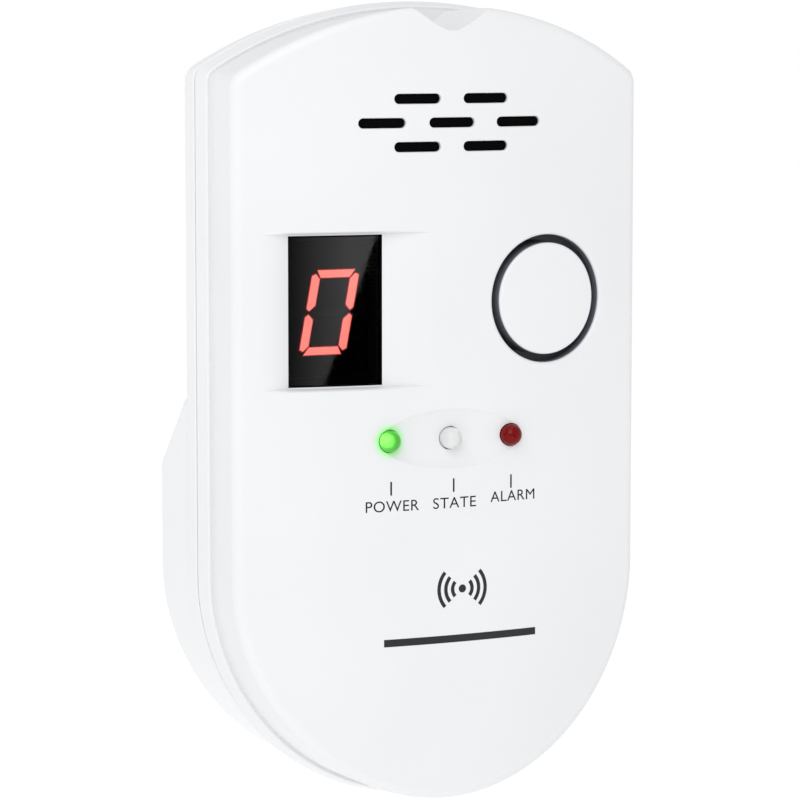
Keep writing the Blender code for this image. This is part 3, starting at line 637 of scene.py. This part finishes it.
def make_dust_mesh(finish):
    """A black filter mat behind the slots, pressed a little way into each of them."""
    across, up = (-17.5, 17.5), (SLOT_MIDDLE_Z - 5.2, SLOT_MIDDLE_Z + 5.2)
    mat = striped_block("dust_mesh_looks", [(1.3, across, up), (1.9, across, up)], 32, finish)
    pads = []
    for centre in slot_places():
        layers = ((0.38, -0.25), (0.44, -0.14), (0.6, -0.05), (1.6, -0.05))
        pads.append(stacked("pad", slot_outline, layers, centre, finish))
    combined(mat, pads, "UNION")
    return finished(bent_to_face(mat))


def dish_cutter():
    """The shallow eye-shaped dish round the lamps."""
    wide, tall, deep = 11.3, 4.35, 0.9

    def depth_at(x, z):
        share = 1 - (x / wide) ** 2 - ((z - LAMP_Z) / tall) ** 2
        return deep * share**0.75 if share > 0 else max(share, -0.4)

    return height_cutter("dish", spread(-12.4, 12.4, 80), spread(LAMP_Z - 5.0, LAMP_Z + 5.0, 48), depth_at)


def notch_cutter(name, growth, front, back):
    """A soft-bottomed V in the top of the face, narrowing towards the ledge."""
    bottom, reach = 2.2, 12.0
    rings = []
    for depth in spread(front, back, 4):
        share = depth / LEDGE_DEPTH
        floor, steepness = 54.7 + 0.3 * share - growth, 0.75 + 0.2 * share
        xs = spread(-reach, reach, 60)
        valley = [(x, floor + steepness * (math.hypot(x, bottom) - bottom)) for x in xs]
        outline = valley + [(reach, floor + 16.0), (-reach, floor + 16.0)]
        rings.append([place(x, depth, z) for x, z in outline])
    return skinned(name, rings)


def rounded_front(depth, offset, radius, steps):
    """Layers round an outer edge that starts at a depth and offset, from the front face to the side."""
    layers = []
    for angle in spread(0, 90, steps):
        turn = math.radians(angle)
        layers.append((depth - radius * math.cos(turn), offset + radius * math.sin(turn)))
    return layers


def make_front_cover(finish, gap_shade_finish, dark_finish):
    groove = [(LEDGE_DEPTH - 0.12, 0.3), (LEDGE_DEPTH + 0.14, 0.36), (LEDGE_DEPTH + 0.14, 0.62)]
    outer = rounded_front(1.4, -1.35, 1.4, 10) + groove + rounded_front(LEDGE_DEPTH + 0.4, 0.74, 0.32, 5)
    outer += [(SEAM_DEPTH - 0.2, 1.63), (SEAM_DEPTH, 1.48)]
    inner = [(2.0, -2.6), (3.2, -1.9), (SEAM_DEPTH - 2.2, -1.1)]
    inner += [(SEAM_DEPTH - 1.9, 0.0), (SEAM_DEPTH + 1.0, 0.0)]
    cover = loft("cover_shell", outer, finish)
    window_frame = prism("window_frame", window_outline(1.6), (1.0, 3.1))
    cavity = loft("cavity", inner)
    cut(cavity, [notch_cutter("notch_wall", 1.8, 0.6, 12.6), window_frame])

    cutters = [cavity, notch_cutter("notch", 0.0, -2.0, LEDGE_DEPTH)]
    across, up = (-18.2, 18.2), (SLOT_MIDDLE_Z - 5.9, SLOT_MIDDLE_Z + 5.9)
    cutters.append(striped_block("mesh_pocket", [(1.0, across, up), (3.0, across, up)], 32))
    for centre in slot_places():
        cutters.append(stacked("slot", slot_outline, flare(0.2) + [(2.0, 0.0)], centre))
    button_layers = flare(0.5) + [(4.0, 0.0)]
    cutters.append(stacked("button_hole", button_outline, button_layers, (BUTTON_X, BUTTON_Z)))
    cutters.append(scoop_cutter())
    clearance = 0.12
    cutters.append(prism("window_hole", window_outline(clearance), (0.4, 5.0)))
    cutters.append(dish_cutter())
    for x in (-LAMP_PITCH, 0.0, LAMP_PITCH):
        cutters.append(prism("lamp_hole", circle(x, LAMP_Z, LAMP_RADIUS + clearance, 48), (-1.0, 4.0)))
    cut(cover, cutters)
    cover.name = "front_cover_looks"
    finished(bent_to_face(cover), weighted=True)
    # Painted shade: the deep walls of the button hole take a blue-grey finish in place of the shadow in the
    # gap.
    gap_wall = (BUTTON_HOLE_RADIUS - 0.1, BUTTON_HOLE_RADIUS + 0.05)
    finish_faces(cover, gap_shade_finish, in_button_gap(gap_wall, 0.45))
    finish_faces(cover, dark_finish, in_window_opening)
    return cover


# ------------ rear cover


def ramp_ceiling(depth, case_depth, body_depth, top, rounding):
    """The height of the plug block at a depth: a 45 degree ramp that rolls into the rear face."""
    corner_z = top - (body_depth - case_depth)
    tangent = rounding * math.tan(math.radians(22.5))
    centre_z = corner_z - tangent
    if depth <= body_depth - rounding + rounding * math.cos(math.radians(45)):
        return top - (depth - case_depth)
    return centre_z + math.sqrt(max(rounding**2 - (depth - body_depth + rounding) ** 2, 0.0))


def rear_offset(depth):
    """The plug block's sides draw in towards its back."""
    return 1.34 - 0.53 * (depth - 18.0) / (BODY_DEPTH - 20.0)


def make_rear_cover(finish):
    seam = SEAM_DEPTH + SEAM_GAP
    case = [(SEAM_DEPTH - 1.5, -0.3), (seam, -0.3), (seam, 1.48), (seam + 0.18, 1.63)]
    edge_depth, edge_offset = CASE_DEPTH - CASE_EDGE_ROUND, CASE_OFFSET - CASE_EDGE_ROUND
    case += rounded(edge_depth, edge_offset, CASE_EDGE_ROUND, (0, 90), 9)
    cover = loft("rear_shell", case, finish)

    outside = (CASE_DEPTH, BODY_DEPTH, RAMP_TOP_Z, RAMP_ROUND)
    side_end = BODY_DEPTH - BLOCK_EDGE_ROUND
    block = [(15.5, 0.5, 0.5)]
    for depth in spread(18.2, side_end, 10):
        block.append((depth, rear_offset(depth), min(ramp_ceiling(depth, *outside), RAMP_TOP_Z)))
    edge_offset = rear_offset(side_end) - BLOCK_EDGE_ROUND
    for depth, offset in rounded(side_end, edge_offset, BLOCK_EDGE_ROUND, (8, 90), 9):
        block.append((depth, offset, ramp_ceiling(min(depth, BODY_DEPTH - 0.001), *outside)))
    plug_block = loft("plug_block", block)
    combined(cover, [plug_block], "UNION")

    case_floor, block_floor = CASE_DEPTH - REAR_WALL, BODY_DEPTH - REAR_WALL
    inside_top = RAMP_TOP_Z - RAMP_WALL
    inside = (case_floor, block_floor, inside_top, RAMP_ROUND - REAR_WALL)
    inner_case = [(SEAM_DEPTH - 3.0, -1.5), (16.0, -1.5), (17.0, -0.6), (case_floor, -0.7)]
    inner_block = [(16.5, -0.9, -0.5)]
    for depth in spread(18.0, block_floor, 8):
        inner_block.append((depth, -0.9, min(ramp_ceiling(depth, *inside), inside_top)))
    hollow = loft("rear_hollow", inner_case)
    combined(hollow, [loft("block_hollow", inner_block)], "UNION")
    cut(cover, [hollow])

    bosses = []
    cutters = []
    for name, (x, z) in CASE_SCREWS.items():
        back = CASE_DEPTH - 0.5 if z > 0 else BODY_DEPTH - 0.8
        mouth = CASE_DEPTH if z > 0 else BODY_DEPTH
        bosses.append(prism(name + "_boss", circle(x, z, 4.2, 48), (15.5, back)))
        cutters.append(prism(name + "_way", circle(x, z, 1.7, 32), (14.0, CASE_SCREW_SEAT + 1.0)))
        flared = [(mouth - 0.4, 0.0), (mouth - 0.12, 0.1), (mouth, 0.36), (mouth + 1.0, 0.6)]
        rings = []
        for depth, growth in [(CASE_SCREW_SEAT, 0.0)] + flared:
            rings.append([place(u, depth, v) for u, v in circle(x, z, 3.1 + growth, 48)])
        cutters.append(skinned(name + "_bore", rings))
    for x in (-BLADE_X, BLADE_X):
        rings = []
        for depth, growth in ((29.0, 0.0), (BODY_DEPTH - 0.3, 0.0), (BODY_DEPTH + 0.5, 0.4)):
            half, reach = 0.9 + growth, 3.33 + growth
            corners = rectangle(x - half, x + half, PLUG_Z - reach, PLUG_Z + reach)
            rings.append([place(u, depth, v) for u, v in corners])
        cutters.append(skinned("blade_slot", rings))
    combined(cover, bosses, "UNION")
    cut(cover, cutters)
    cover.name = "rear_cover_looks"
    return finished(cover, weighted=True)


# ------------ window and display


def on_window_edge(x, depth, z):
    """The window's four side walls, between its chamfers."""
    to_side = min(abs(x - side) for side in WINDOW_X)
    to_end = min(abs(z - end) for end in WINDOW_Z)
    return min(to_side, to_end) < 0.03


def make_window(finish, edge_finish):
    """A smoked plate with small chamfers and black side walls, bent to the face."""
    front, back, edge = WINDOW_DEPTH + 0.05, WINDOW_DEPTH + 1.25, 0.12
    layers = []
    for depth, inset in ((front, edge), (front + edge, 0.0), (back - edge, 0.0), (back, edge)):
        across = (WINDOW_X[0] + inset, WINDOW_X[1] - inset)
        layers.append((depth, across, (WINDOW_Z[0] + inset, WINDOW_Z[1] - inset)))
    window = finished(bent_to_face(striped_block("display_window_looks", layers, 24, finish)))
    finish_faces(window, edge_finish, on_window_edge)
    return window


def segment_outline(start, end, ends, width, growth, slant):
    """A segment between two places on the digit's centre lines. Each end is a list of (distance along,
    share of the half width), from its outer side to its inner side."""
    (x0, z0), (x1, z1) = start, end
    length = math.hypot(x1 - x0, z1 - z0)
    ux, uz = (x1 - x0) / length, (z1 - z0) / length
    half = width / 2 + growth
    first = [(along - growth, share * half) for along, share in reversed(ends[0])]
    last = [(length - along + growth, share * half) for along, share in ends[1]]
    points = []
    for along, across in first + last:
        x = x0 + ux * along - uz * across
        z = z0 + uz * along + ux * across
        points.append((DISPLAY_X + x + slant * z, DISPLAY_Z + z))
    return points


def make_display(body_finish, lit, edge_finish, unlit):
    """The digit module: a black block with a chamfered front edge and seven light bars in its face."""
    wide, tall = 12.6, 19.0
    x0, x1 = DISPLAY_BODY_X - wide / 2, DISPLAY_BODY_X + wide / 2
    z0, z1 = DISPLAY_BODY_Z - tall / 2, DISPLAY_BODY_Z + tall / 2
    rings = []
    for depth, inset in ((DISPLAY_FACE, 0.25), (DISPLAY_FACE + 0.2, 0.0), (13.4, 0.0), (13.5, 0.15)):
        corners = rectangle(x0 + inset, x1 - inset, z0 + inset, z1 - inset)
        rings.append([place(x, depth, z) for x, z in corners])
    body = skinned("digit_display_looks", rings, body_finish)
    slant = math.tan(math.radians(10.7))
    half_width, half_height = 3.045, 5.57
    mitred = [(0.08, 1.0), (0.78, -1.0)]
    tipped = [(0.26, 1.0), (0.0, 0.12), (0.75, -1.0)]
    chevron = [(0.62, 1.0), (0.26, 0.27), (1.05, -1.0)]
    pointed = [(1.1, 1.0), (0.5, 0.0), (1.1, -1.0)]
    left_top, right_top = (-half_width, half_height), (half_width, half_height)
    left_middle, right_middle = (-half_width, 0.0), (half_width, 0.0)
    left_foot, right_foot = (-half_width, -half_height), (half_width, -half_height)
    bars = {
        "top": (left_top, right_top, (mitred, mitred), 1.1),
        "upper_right": (right_top, right_middle, (tipped, chevron), 1.27),
        "lower_right": (right_middle, right_foot, (chevron, tipped), 1.27),
        "bottom": (right_foot, left_foot, (mitred, mitred), 1.1),
        "lower_left": (left_foot, left_middle, (tipped, chevron), 1.27),
        "upper_left": (left_middle, left_top, (chevron, tipped), 1.27),
        "middle": (left_middle, right_middle, (pointed, pointed), 1.1),
    }
    pieces = [body]
    for name, (start, end, ends, width) in bars.items():
        outline = segment_outline(start, end, ends, width, 0.0, slant)
        finish = unlit if name == "middle" else lit
        pieces.append(prism("segment_" + name, outline, (DISPLAY_FACE - 0.12, DISPLAY_FACE + 0.1), finish))
        if name != "middle":
            outline = segment_outline(start, end, ends, width, 0.17, slant)
            depths = (DISPLAY_FACE - 0.06, DISPLAY_FACE + 0.08)
            pieces.append(prism("segment_edge_" + name, outline, depths, edge_finish))
    return [finished(piece) for piece in pieces]


# ------------ button and lamps


def finish_faces(obj, finish, chosen):
    """Gives a finish to the faces that chosen(x, depth, z) picks. Depth is measured from the curved face."""
    obj.data.materials.append(finish)
    for face in obj.data.polygons:
        x, y, z = face.center / TO_METRES
        if chosen(x, y + BODY_DEPTH - x**2 / (2 * FACE_RADIUS), z + PLUG_Z):
            face.material_index = len(obj.data.materials) - 1


def in_window_opening(x, depth, z):
    """The walls of the opening, behind the window's front."""
    inside = WINDOW_X[0] - 0.2 < x < WINDOW_X[1] + 0.2 and WINDOW_Z[0] - 0.2 < z < WINDOW_Z[1] + 0.2
    return inside and WINDOW_DEPTH + 0.1 < depth < 4.0


def in_button_gap(radii, above):
    """The upright walls of the gap round the button, below a depth: where the painted gap shade goes."""

    def chosen(x, depth, z):
        return radii[0] < math.hypot(x - BUTTON_X, z - BUTTON_Z) < radii[1] and depth > above

    return chosen


def make_button(finish, gap_shade_finish):
    rim = 0.38
    profile = [(0.0, 0.0)] + [(radius, 0.0) for radius in (1.5, 3.0, 4.5, 6.0, BUTTON_RADIUS - rim)]
    for angle in spread(0, 90, 8)[1:]:
        turn = math.radians(angle)
        profile.append((BUTTON_RADIUS - rim + rim * math.sin(turn), -rim + rim * math.cos(turn)))
    profile += [(BUTTON_RADIUS, -0.5), (BUTTON_RADIUS, -3.0), (BUTTON_RADIUS, -6.8)]
    profile += [(BUTTON_RADIUS + 0.2, -7.0), (11.1, -7.0), (11.3, -7.2), (11.3, -8.2)]
    profile += [(BUTTON_RADIUS - 1.4, -8.2), (BUTTON_RADIUS - 1.4, -1.8), (4.5, -1.8), (1.8, -1.8)]
    profile += [(1.8, -8.9), (1.7, -9.0), (0.0, -9.0)]
    button = turned("test_button_looks", profile, BUTTON_X, 0.0, BUTTON_Z, finish, segments=128)
    finished(bent_to_face(button))
    # Painted shade: the button's side below its rim takes the same blue-grey finish in place of the shadow
    # in the gap.
    finish_faces(button, gap_shade_finish, in_button_gap((BUTTON_RADIUS - 0.1, 12.0), 0.42))
    return button


def dome_profile(radius, front, base):
    """A lamp's outline from its tip down its side."""
    profile = [(0.0, front + radius)]
    for angle in spread(80, 0, 8):
        turn = math.radians(angle)
        profile.append((radius * math.cos(turn), front + radius * math.sin(turn)))
    return profile + base


def make_lamp(name, x, finish, core_finish, cup_finish):
    """A lamp: dome and flange, with its reflector cup and light-emitting die inside."""
    base = [(LAMP_RADIUS, -3.8), (1.88, -3.85), (1.9, -3.95), (1.9, -4.85), (1.85, -4.9), (0.0, -4.9)]
    centre = (x, -LAMP_FRONT, LAMP_Z)
    shell = turned(name + "_looks", dome_profile(LAMP_RADIUS, 0.0, base), *centre, finish, 48)
    cup_profile = [(0.0, -1.3), (0.35, -1.3), (0.75, -0.75), (0.85, -0.75), (0.85, -2.4), (0.0, -2.4)]
    cup = turned(name + "_cup", cup_profile, *centre, cup_finish, 32)
    die_profile = dome_profile(0.3, -1.1, [(0.3, -1.25), (0.0, -1.25)])
    core = turned(name + "_die", die_profile, *centre, core_finish, 24)
    return [finished(piece) for piece in (shell, cup, core)]


# ------------ blades and screws


def make_blade(name, side, finish):
    """A coined blade: chamfered edges, rounded tip, punched hole."""
    reach, half = 3.175, 0.75
    tip = BODY_DEPTH + 16.5
    rings = []
    for thickness, inset in ((-half, 0.18), (-half + 0.18, 0.0), (half - 0.18, 0.0), (half, 0.18)):
        outline = [
            (23.6, -2.0 + inset),
            (28.9, -2.0 + inset),
            (28.9, -4.75 + inset),
            (29.7, -4.75 + inset),
            (29.7, -reach + inset),
        ]
        nose = arc(tip - 2.0, 0.0, 1.0, -90, 90, 12)
        outline += [(tip - 2.0 + (u - tip + 2.0) * (2.0 - inset), v * (reach - inset)) for u, v in nose]
        outline += [(y, -z) for y, z in reversed(outline[:5])]
        x = side * BLADE_X + thickness
        rings.append([place(x, depth, PLUG_Z + z) for depth, z in outline])
    blade = skinned(name + "_looks", rings, finish)
    hole_rings = []
    for across, growth in ((-1.2, 0.3), (-0.75, 0.15), (-0.6, 0.0), (0.6, 0.0), (0.75, 0.15), (1.2, 0.3)):
        hole = circle(BODY_DEPTH + 11.7, PLUG_Z, 1.5 + growth, 40)
        hole_rings.append([place(side * BLADE_X + across, depth, z) for depth, z in hole])
    cut(blade, [skinned("blade_hole", hole_rings)])
    return finished(blade)


def make_screw(name, x, z, finish):
    """A pan-head screw with a cross recess and a threaded shaft."""
    profile = [(0.0, 1.8), (0.9, 1.78), (1.6, 1.62), (2.15, 1.28), (2.48, 0.75), (2.6, 0.2), (2.6, 0.05)]
    profile += [(2.5, 0.0), (1.3, 0.0)]
    height = -0.6
    while height > -8.4:
        profile += [(0.95, height), (1.32, height - 0.35), (0.95, height - 0.7)]
        height -= 0.75
    profile += [(0.5, -9.2), (0.0, -9.4)]
    seat = CASE_SCREW_SEAT + 0.15
    screw = turned(name + "_looks", profile, x, seat, z, finish, 40, FACING_BACK)
    baked(screw)
    cutters = []
    for wide, tall in ((2.6, 0.62), (0.62, 2.6)):
        rings = []
        for depth, share in ((seat + 0.55, 0.45), (seat + 2.4, 1.15)):
            half, reach = wide * share / 2, tall * share / 2
            corners = rectangle(x - half, x + half, z - reach, z + reach)
            rings.append([place(u, depth, v) for u, v in corners])
        cutters.append(skinned("recess", rings))
    cut(screw, cutters)
    return finished(screw, 40.0)


# ------------ printing on the face


def printed(name, outline, finish):
    """Ink with the thickness of a pad print on the curved face."""
    return finished(bent_to_face(prism(name, outline, INK_DEPTHS, finish)))


def printed_word(word, left, right, base, height, finish):
    """A word in the built-in plain face, scaled to its place on the front."""
    curve = bpy.data.curves.new("word", "FONT")
    curve.body = word
    curve.size = 1.0
    curve.space_character = 1.06
    curve.extrude = 0.01
    text = bpy.data.objects.new("legend_" + word.lower(), curve)
    bpy.context.scene.collection.objects.link(text)
    bpy.context.view_layer.update()
    evaluated = text.evaluated_get(bpy.context.evaluated_depsgraph_get())
    mesh = bpy.data.meshes.new_from_object(evaluated)
    name = text.name
    bpy.data.objects.remove(text)
    bm = bmesh.new()
    bm.from_mesh(mesh)
    bpy.data.meshes.remove(mesh)
    bmesh.ops.remove_doubles(bm, verts=bm.verts, dist=0.0001)
    xs = [v.co.x for v in bm.verts]
    ys = [v.co.y for v in bm.verts]
    wide, tall = max(xs) - min(xs), max(ys) - min(ys)
    for vertex in bm.verts:
        x = left + (vertex.co.x - min(xs)) / wide * (right - left)
        z = base + (vertex.co.y - min(ys)) / tall * height
        vertex.co = place(x, INK_DEPTHS[0] if vertex.co.z > 0 else INK_DEPTHS[1], z)
    return finished(bent_to_face(new_object(name, bm, finish)))


def printed_arc(name, x, z, radius, start, end, finish):
    half = 0.28
    outline = arc(x, z, radius + half, start, end, 24) + arc(x, z, radius - half, end, start, 24)
    return printed(name, outline, finish)


def make_printing(ink, legend_ink):
    """Marker lines and legends under the lamps, and a plain sensor sign, a dot between arcs, over a bar."""
    pieces = []
    for name, x in TICKS.items():
        tick = rectangle(x - TICK_WIDTH / 2, x + TICK_WIDTH / 2, TICK_BOTTOM, TICK_TOP)
        pieces.append(printed("tick_" + name, tick, legend_ink))
    for word, (left, right, base, height) in LEGENDS.items():
        pieces.append(printed_word(word, left, right, base, height, legend_ink))

    pieces.append(printed("sensor_dot", circle(SIGN_X, SIGN_Z, 0.6, 32), ink))
    for index, radius in enumerate((1.6, 2.7, 3.8)):
        for side, start, end in (("right", -42, 42), ("left", 138, 222)):
            name = f"sensor_arc_{side}_{index}"
            pieces.append(printed_arc(name, SIGN_X, SIGN_Z, radius, start, end, ink))
    layers = [(depth, BAR_X, BAR_Z) for depth in INK_DEPTHS]
    pieces.append(finished(bent_to_face(striped_block("plain_bar", layers, 24, ink))))
    return pieces


# ------------ putting it together


def replace(objects, body, *nodes):
    """All the objects ride on the body, and the CAD nodes they stand in for are hidden."""
    for obj in objects:
        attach(obj, body)
    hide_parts(*nodes)


def paint(nodes, finish):
    for node in nodes:
        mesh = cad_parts[node].data
        mesh.materials.clear()
        mesh.materials.append(finish)


def make_pieces():
    white = front_plastic()
    # Painted light: the rear plastic is a touch lighter than the front's same white, lifting its less lit
    # sides.
    rear_white = moulded("rear_plastic", (0.768, 0.775, 0.787), 0.42).material
    button_white = moulded("button_plastic", (0.735, 0.744, 0.758), 0.36).material
    ink = moulded("grey_ink", (0.019, 0.02, 0.022), 0.5).set(Specular_IOR_Level=0.25).material
    dark_ink = moulded("dark_ink", (0.006, 0.006, 0.007), 0.5).set(Specular_IOR_Level=0.2).material
    black = moulded("black_moulding", (0.012, 0.012, 0.013), 0.4).material

    # A blue-grey painted shade for the deep walls of the gap round the button, in place of the shadow there.
    gap_shade = moulded("painted_gap_shade", (0.19, 0.205, 0.24), 0.5).material
    matt_black = moulded("matt_black", (0.003, 0.003, 0.0035), 0.7).set(Specular_IOR_Level=0.1).material
    replace([make_front_cover(white, gap_shade, matt_black)], "housing", "front_cover")
    replace([make_rear_cover(rear_white)], "housing", "rear_cover")
    smoked = lens("smoked_plastic", (SMOKE, SMOKE, SMOKE), 1.0, 0.02)
    replace([make_window(smoked, matt_black)], "housing", "display_window")
    lit = light_material("lit_segment", (1.0, 0.25, 0.21), LIT_STRENGTH)
    glow_edge = light_material("segment_edge", (1.0, 0.01, 0.01), 0.35)
    unlit = moulded("unlit_segment", (0.02, 0.018, 0.018), 0.5).material
    replace(make_display(matt_black, lit, glow_edge, unlit), "housing", "digit_display")
    replace([make_button(button_white, gap_shade)], "button", "test_button")

    cup = metal("lamp_cup", (0.8, 0.8, 0.78), 0.3).material
    green = lens("green_lens", (0.08, 0.5, 0.04), 0.45, 0.05, 0.18, 0.3)
    green_die = light_material("green_die", (0.6, 1.0, 0.45), 4.0)
    clear = lens("clear_lens", (0.93, 0.94, 0.94), 0.35, 0.06)
    dark_die = moulded("dark_die", (0.2, 0.2, 0.18), 0.4).material
    red = lens("red_lens", (0.17, 0.0, 0.0), 0.1, 0.05, shine=0.12)
    red_die = moulded("red_die", (0.2, 0.02, 0.02), 0.4).material
    lamps = (
        ("led_power", -LAMP_PITCH, green, green_die),
        ("led_state", 0.0, clear, dark_die),
        ("led_alarm", LAMP_PITCH, red, red_die),
    )
    for name, x, finish, die in lamps:
        replace(make_lamp(name, x, finish, die, cup), "housing", name)

    nickel = metal("nickel_plate", (0.78, 0.75, 0.7), 0.22, (1.0, 0.08, 1.0)).material
    replace([make_blade("plug_blade_left", -1, nickel)], "housing", "plug_blade_left")
    replace([make_blade("plug_blade_right", 1, nickel)], "housing", "plug_blade_right")
    zinc = metal("zinc_plate", (0.62, 0.64, 0.68), 0.3).material
    for name, (x, z) in CASE_SCREWS.items():
        replace([make_screw(name, x, z, zinc)], "housing", name)
    replace([make_dust_mesh(woven("dust_mesh_weave", (0.004, 0.004, 0.0045)))], "housing", "dust_mesh")
    for piece in make_printing(ink, dark_ink):
        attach(piece, "housing")

    small_screws = [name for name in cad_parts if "screw" in name and name not in CASE_SCREWS]
    black_parts = ["tact_switch_body", "tact_switch_plunger", "buzzer_case", "board_link_header", "mcu_chip"]
    finishes = (
        (["main_board", "power_board"], circuit_board()),
        (
            ["led_spacer_power", "led_spacer_state", "led_spacer_alarm"],
            moulded("nylon", (0.7, 0.7, 0.66), 0.5).material,
        ),
        (["blade_retainer"], moulded("grey_moulding", (0.42, 0.43, 0.45), 0.5).material),
        (small_screws, zinc),
        (black_parts, black),
        (["sensor_base"], moulded("bakelite", (0.09, 0.04, 0.02), 0.4).material),
        (["sensor_cap"], metal("sensor_steel", (0.62, 0.63, 0.65), 0.32).material),
        (["buzzer_disc"], metal("sounder_brass", (0.8, 0.56, 0.24), 0.28).material),
        (["transformer_core", "choke"], moulded("ferrite", (0.04, 0.04, 0.045), 0.6, 900.0, 0.4).material),
        (["transformer_coil"], wound("coil_tape", (0.8, 0.58, 0.06))),
        (["film_capacitor"], moulded("film_case", (0.75, 0.52, 0.06), 0.35).material),
        (["smoothing_capacitor"], moulded("can_sleeve", (0.02, 0.03, 0.13), 0.28).material),
        (["varistor"], moulded("varistor_coat", (0.03, 0.1, 0.42), 0.35, 1200.0, 0.3).material),
        (["fuse"], moulded("fuse_glaze", (0.78, 0.74, 0.64), 0.3).material),
    )
    for nodes, finish in finishes:
        paint(nodes, finish)


# ------------ studio


def make_camera():
    """Left of the front and a little above, as far off as a long lens stands."""
    level = math.cos(CAMERA_ELEVATION)
    west, south = -math.sin(CAMERA_AZIMUTH) * level, -math.cos(CAMERA_AZIMUTH) * level
    back = Vector((west, south, math.sin(CAMERA_ELEVATION)))
    right = Vector((math.cos(CAMERA_AZIMUTH), -math.sin(CAMERA_AZIMUTH), 0.0))
    up = back.cross(right)
    data = bpy.data.cameras.new("camera")
    data.sensor_width = 36.0
    data.lens = CAMERA_LENS
    data.clip_start = 0.01
    data.clip_end = 200.0
    camera = bpy.data.objects.new("camera", data)
    camera.matrix_world = Matrix((
        (right.x, up.x, back.x, 0.0),
        (right.y, up.y, back.y, 0.0),
        (right.z, up.z, back.z, 0.0),
        (0.0, 0.0, 0.0, 1.0),
    ))
    camera.location = (place(*CAMERA_TARGET) + back * CAMERA_DISTANCE) * TO_METRES
    bpy.context.scene.collection.objects.link(camera)
    bpy.context.scene.camera = camera


def area_light(name, location, size, power):
    """A square softbox that faces the alarm."""
    target = Vector((0.0, 0.0, 0.03))
    data = bpy.data.lights.new(name, "AREA")
    data.shape = "SQUARE"
    data.size = size
    data.energy = power
    light = bpy.data.objects.new(name, data)
    light.location = location
    light.rotation_euler = (target - Vector(location)).to_track_quat("-Z", "Y").to_euler()
    bpy.context.scene.collection.objects.link(light)


def stage_sheet(name, corners, finish):
    bm = bmesh.new()
    bm.faces.new([bm.verts.new(corner) for corner in corners])
    sheet = new_object(name, bm, finish)
    return sheet


def sky():
    """A pale world, brightest in a band round the horizon."""
    world = bpy.data.worlds.new("studio")
    world.use_nodes = True
    nodes, links = world.node_tree.nodes, world.node_tree.links
    direction = nodes.new("ShaderNodeTexCoord")
    split = nodes.new("ShaderNodeSeparateXYZ")
    links.new(direction.outputs["Generated"], split.inputs["Vector"])
    fade = nodes.new("ShaderNodeMapRange")
    fade.inputs["From Min"].default_value = 0.1
    fade.inputs["From Max"].default_value = 0.35
    fade.inputs["To Min"].default_value = HORIZON_LIGHT
    fade.inputs["To Max"].default_value = SKY_LIGHT
    links.new(split.outputs["Z"], fade.inputs["Value"])
    background = nodes["Background"]
    background.inputs["Color"].default_value = (1.0, 1.0, 1.0, 1.0)
    links.new(fade.outputs["Result"], background.inputs["Strength"])
    bpy.context.scene.world = world


def reflection_card(name, corners, depth, finish):
    """A studio card that only shows in reflections, in an upright plane in front of the alarm."""
    card = stage_sheet(name, [place(x, depth, z) * TO_METRES for x, z in corners], finish)
    card.visible_camera = False
    card.visible_diffuse = False
    card.visible_shadow = False


def make_cards():
    """A grey card that brightens to the right, and a black flag that covers its lower right corner."""
    grey = Nodes("grey_card", (0.0, 0.0, 0.0), 1.0)
    light = grey.ramped(grey.axes()["X"], 0.12, 1.08, -0.011, 0.055)
    grey.set(Specular_IOR_Level=0.0, Emission_Color=(1.0, 1.0, 1.0, 1.0))
    grey.link(light, grey.shader.inputs["Emission Strength"])
    reflection_card("grey_card", rectangle(-60, 140, -80, 60), -352.0, grey.material)
    black = Nodes("black_flag", (0.0, 0.0, 0.0), 1.0).set(Specular_IOR_Level=0.0)
    reflection_card("black_flag", [(14, -41), (94, 9), (164, -103), (84, -153)], -350.0, black.material)


def make_studio():
    sky()
    bpy.context.scene.view_settings.view_transform = "Standard"

    pale = Nodes("floor_paper", (0.9, 0.9, 0.9), 0.9)
    pale.colour(pale.mixed(pale.noise(3.0), (0.89, 0.89, 0.89), (0.91, 0.91, 0.91)))
    pale.set(Specular_IOR_Level=0.0, Emission_Color=(1.0, 1.0, 1.0, 1.0), Emission_Strength=FLOOR_GLOW)
    height = -0.25
    corners = [(x, y, height) for x, y in rectangle(-40.0, 40.0, -10.0, 90.0)]
    stage_sheet("floor", corners, pale.material)
    reach, turn, rise = 1.2, math.radians(37.7), math.radians(40.0)
    place_of_key = (
        -reach * math.cos(rise) * math.sin(turn),
        -reach * math.cos(rise) * math.cos(turn),
        reach * math.sin(rise),
    )
    area_light("key", place_of_key, 0.9, KEY_POWER)
    area_light("overhead", (0.0, -0.02, 1.2), 0.6, OVERHEAD_POWER)


make_pieces()
make_camera()
make_studio()
make_cards()
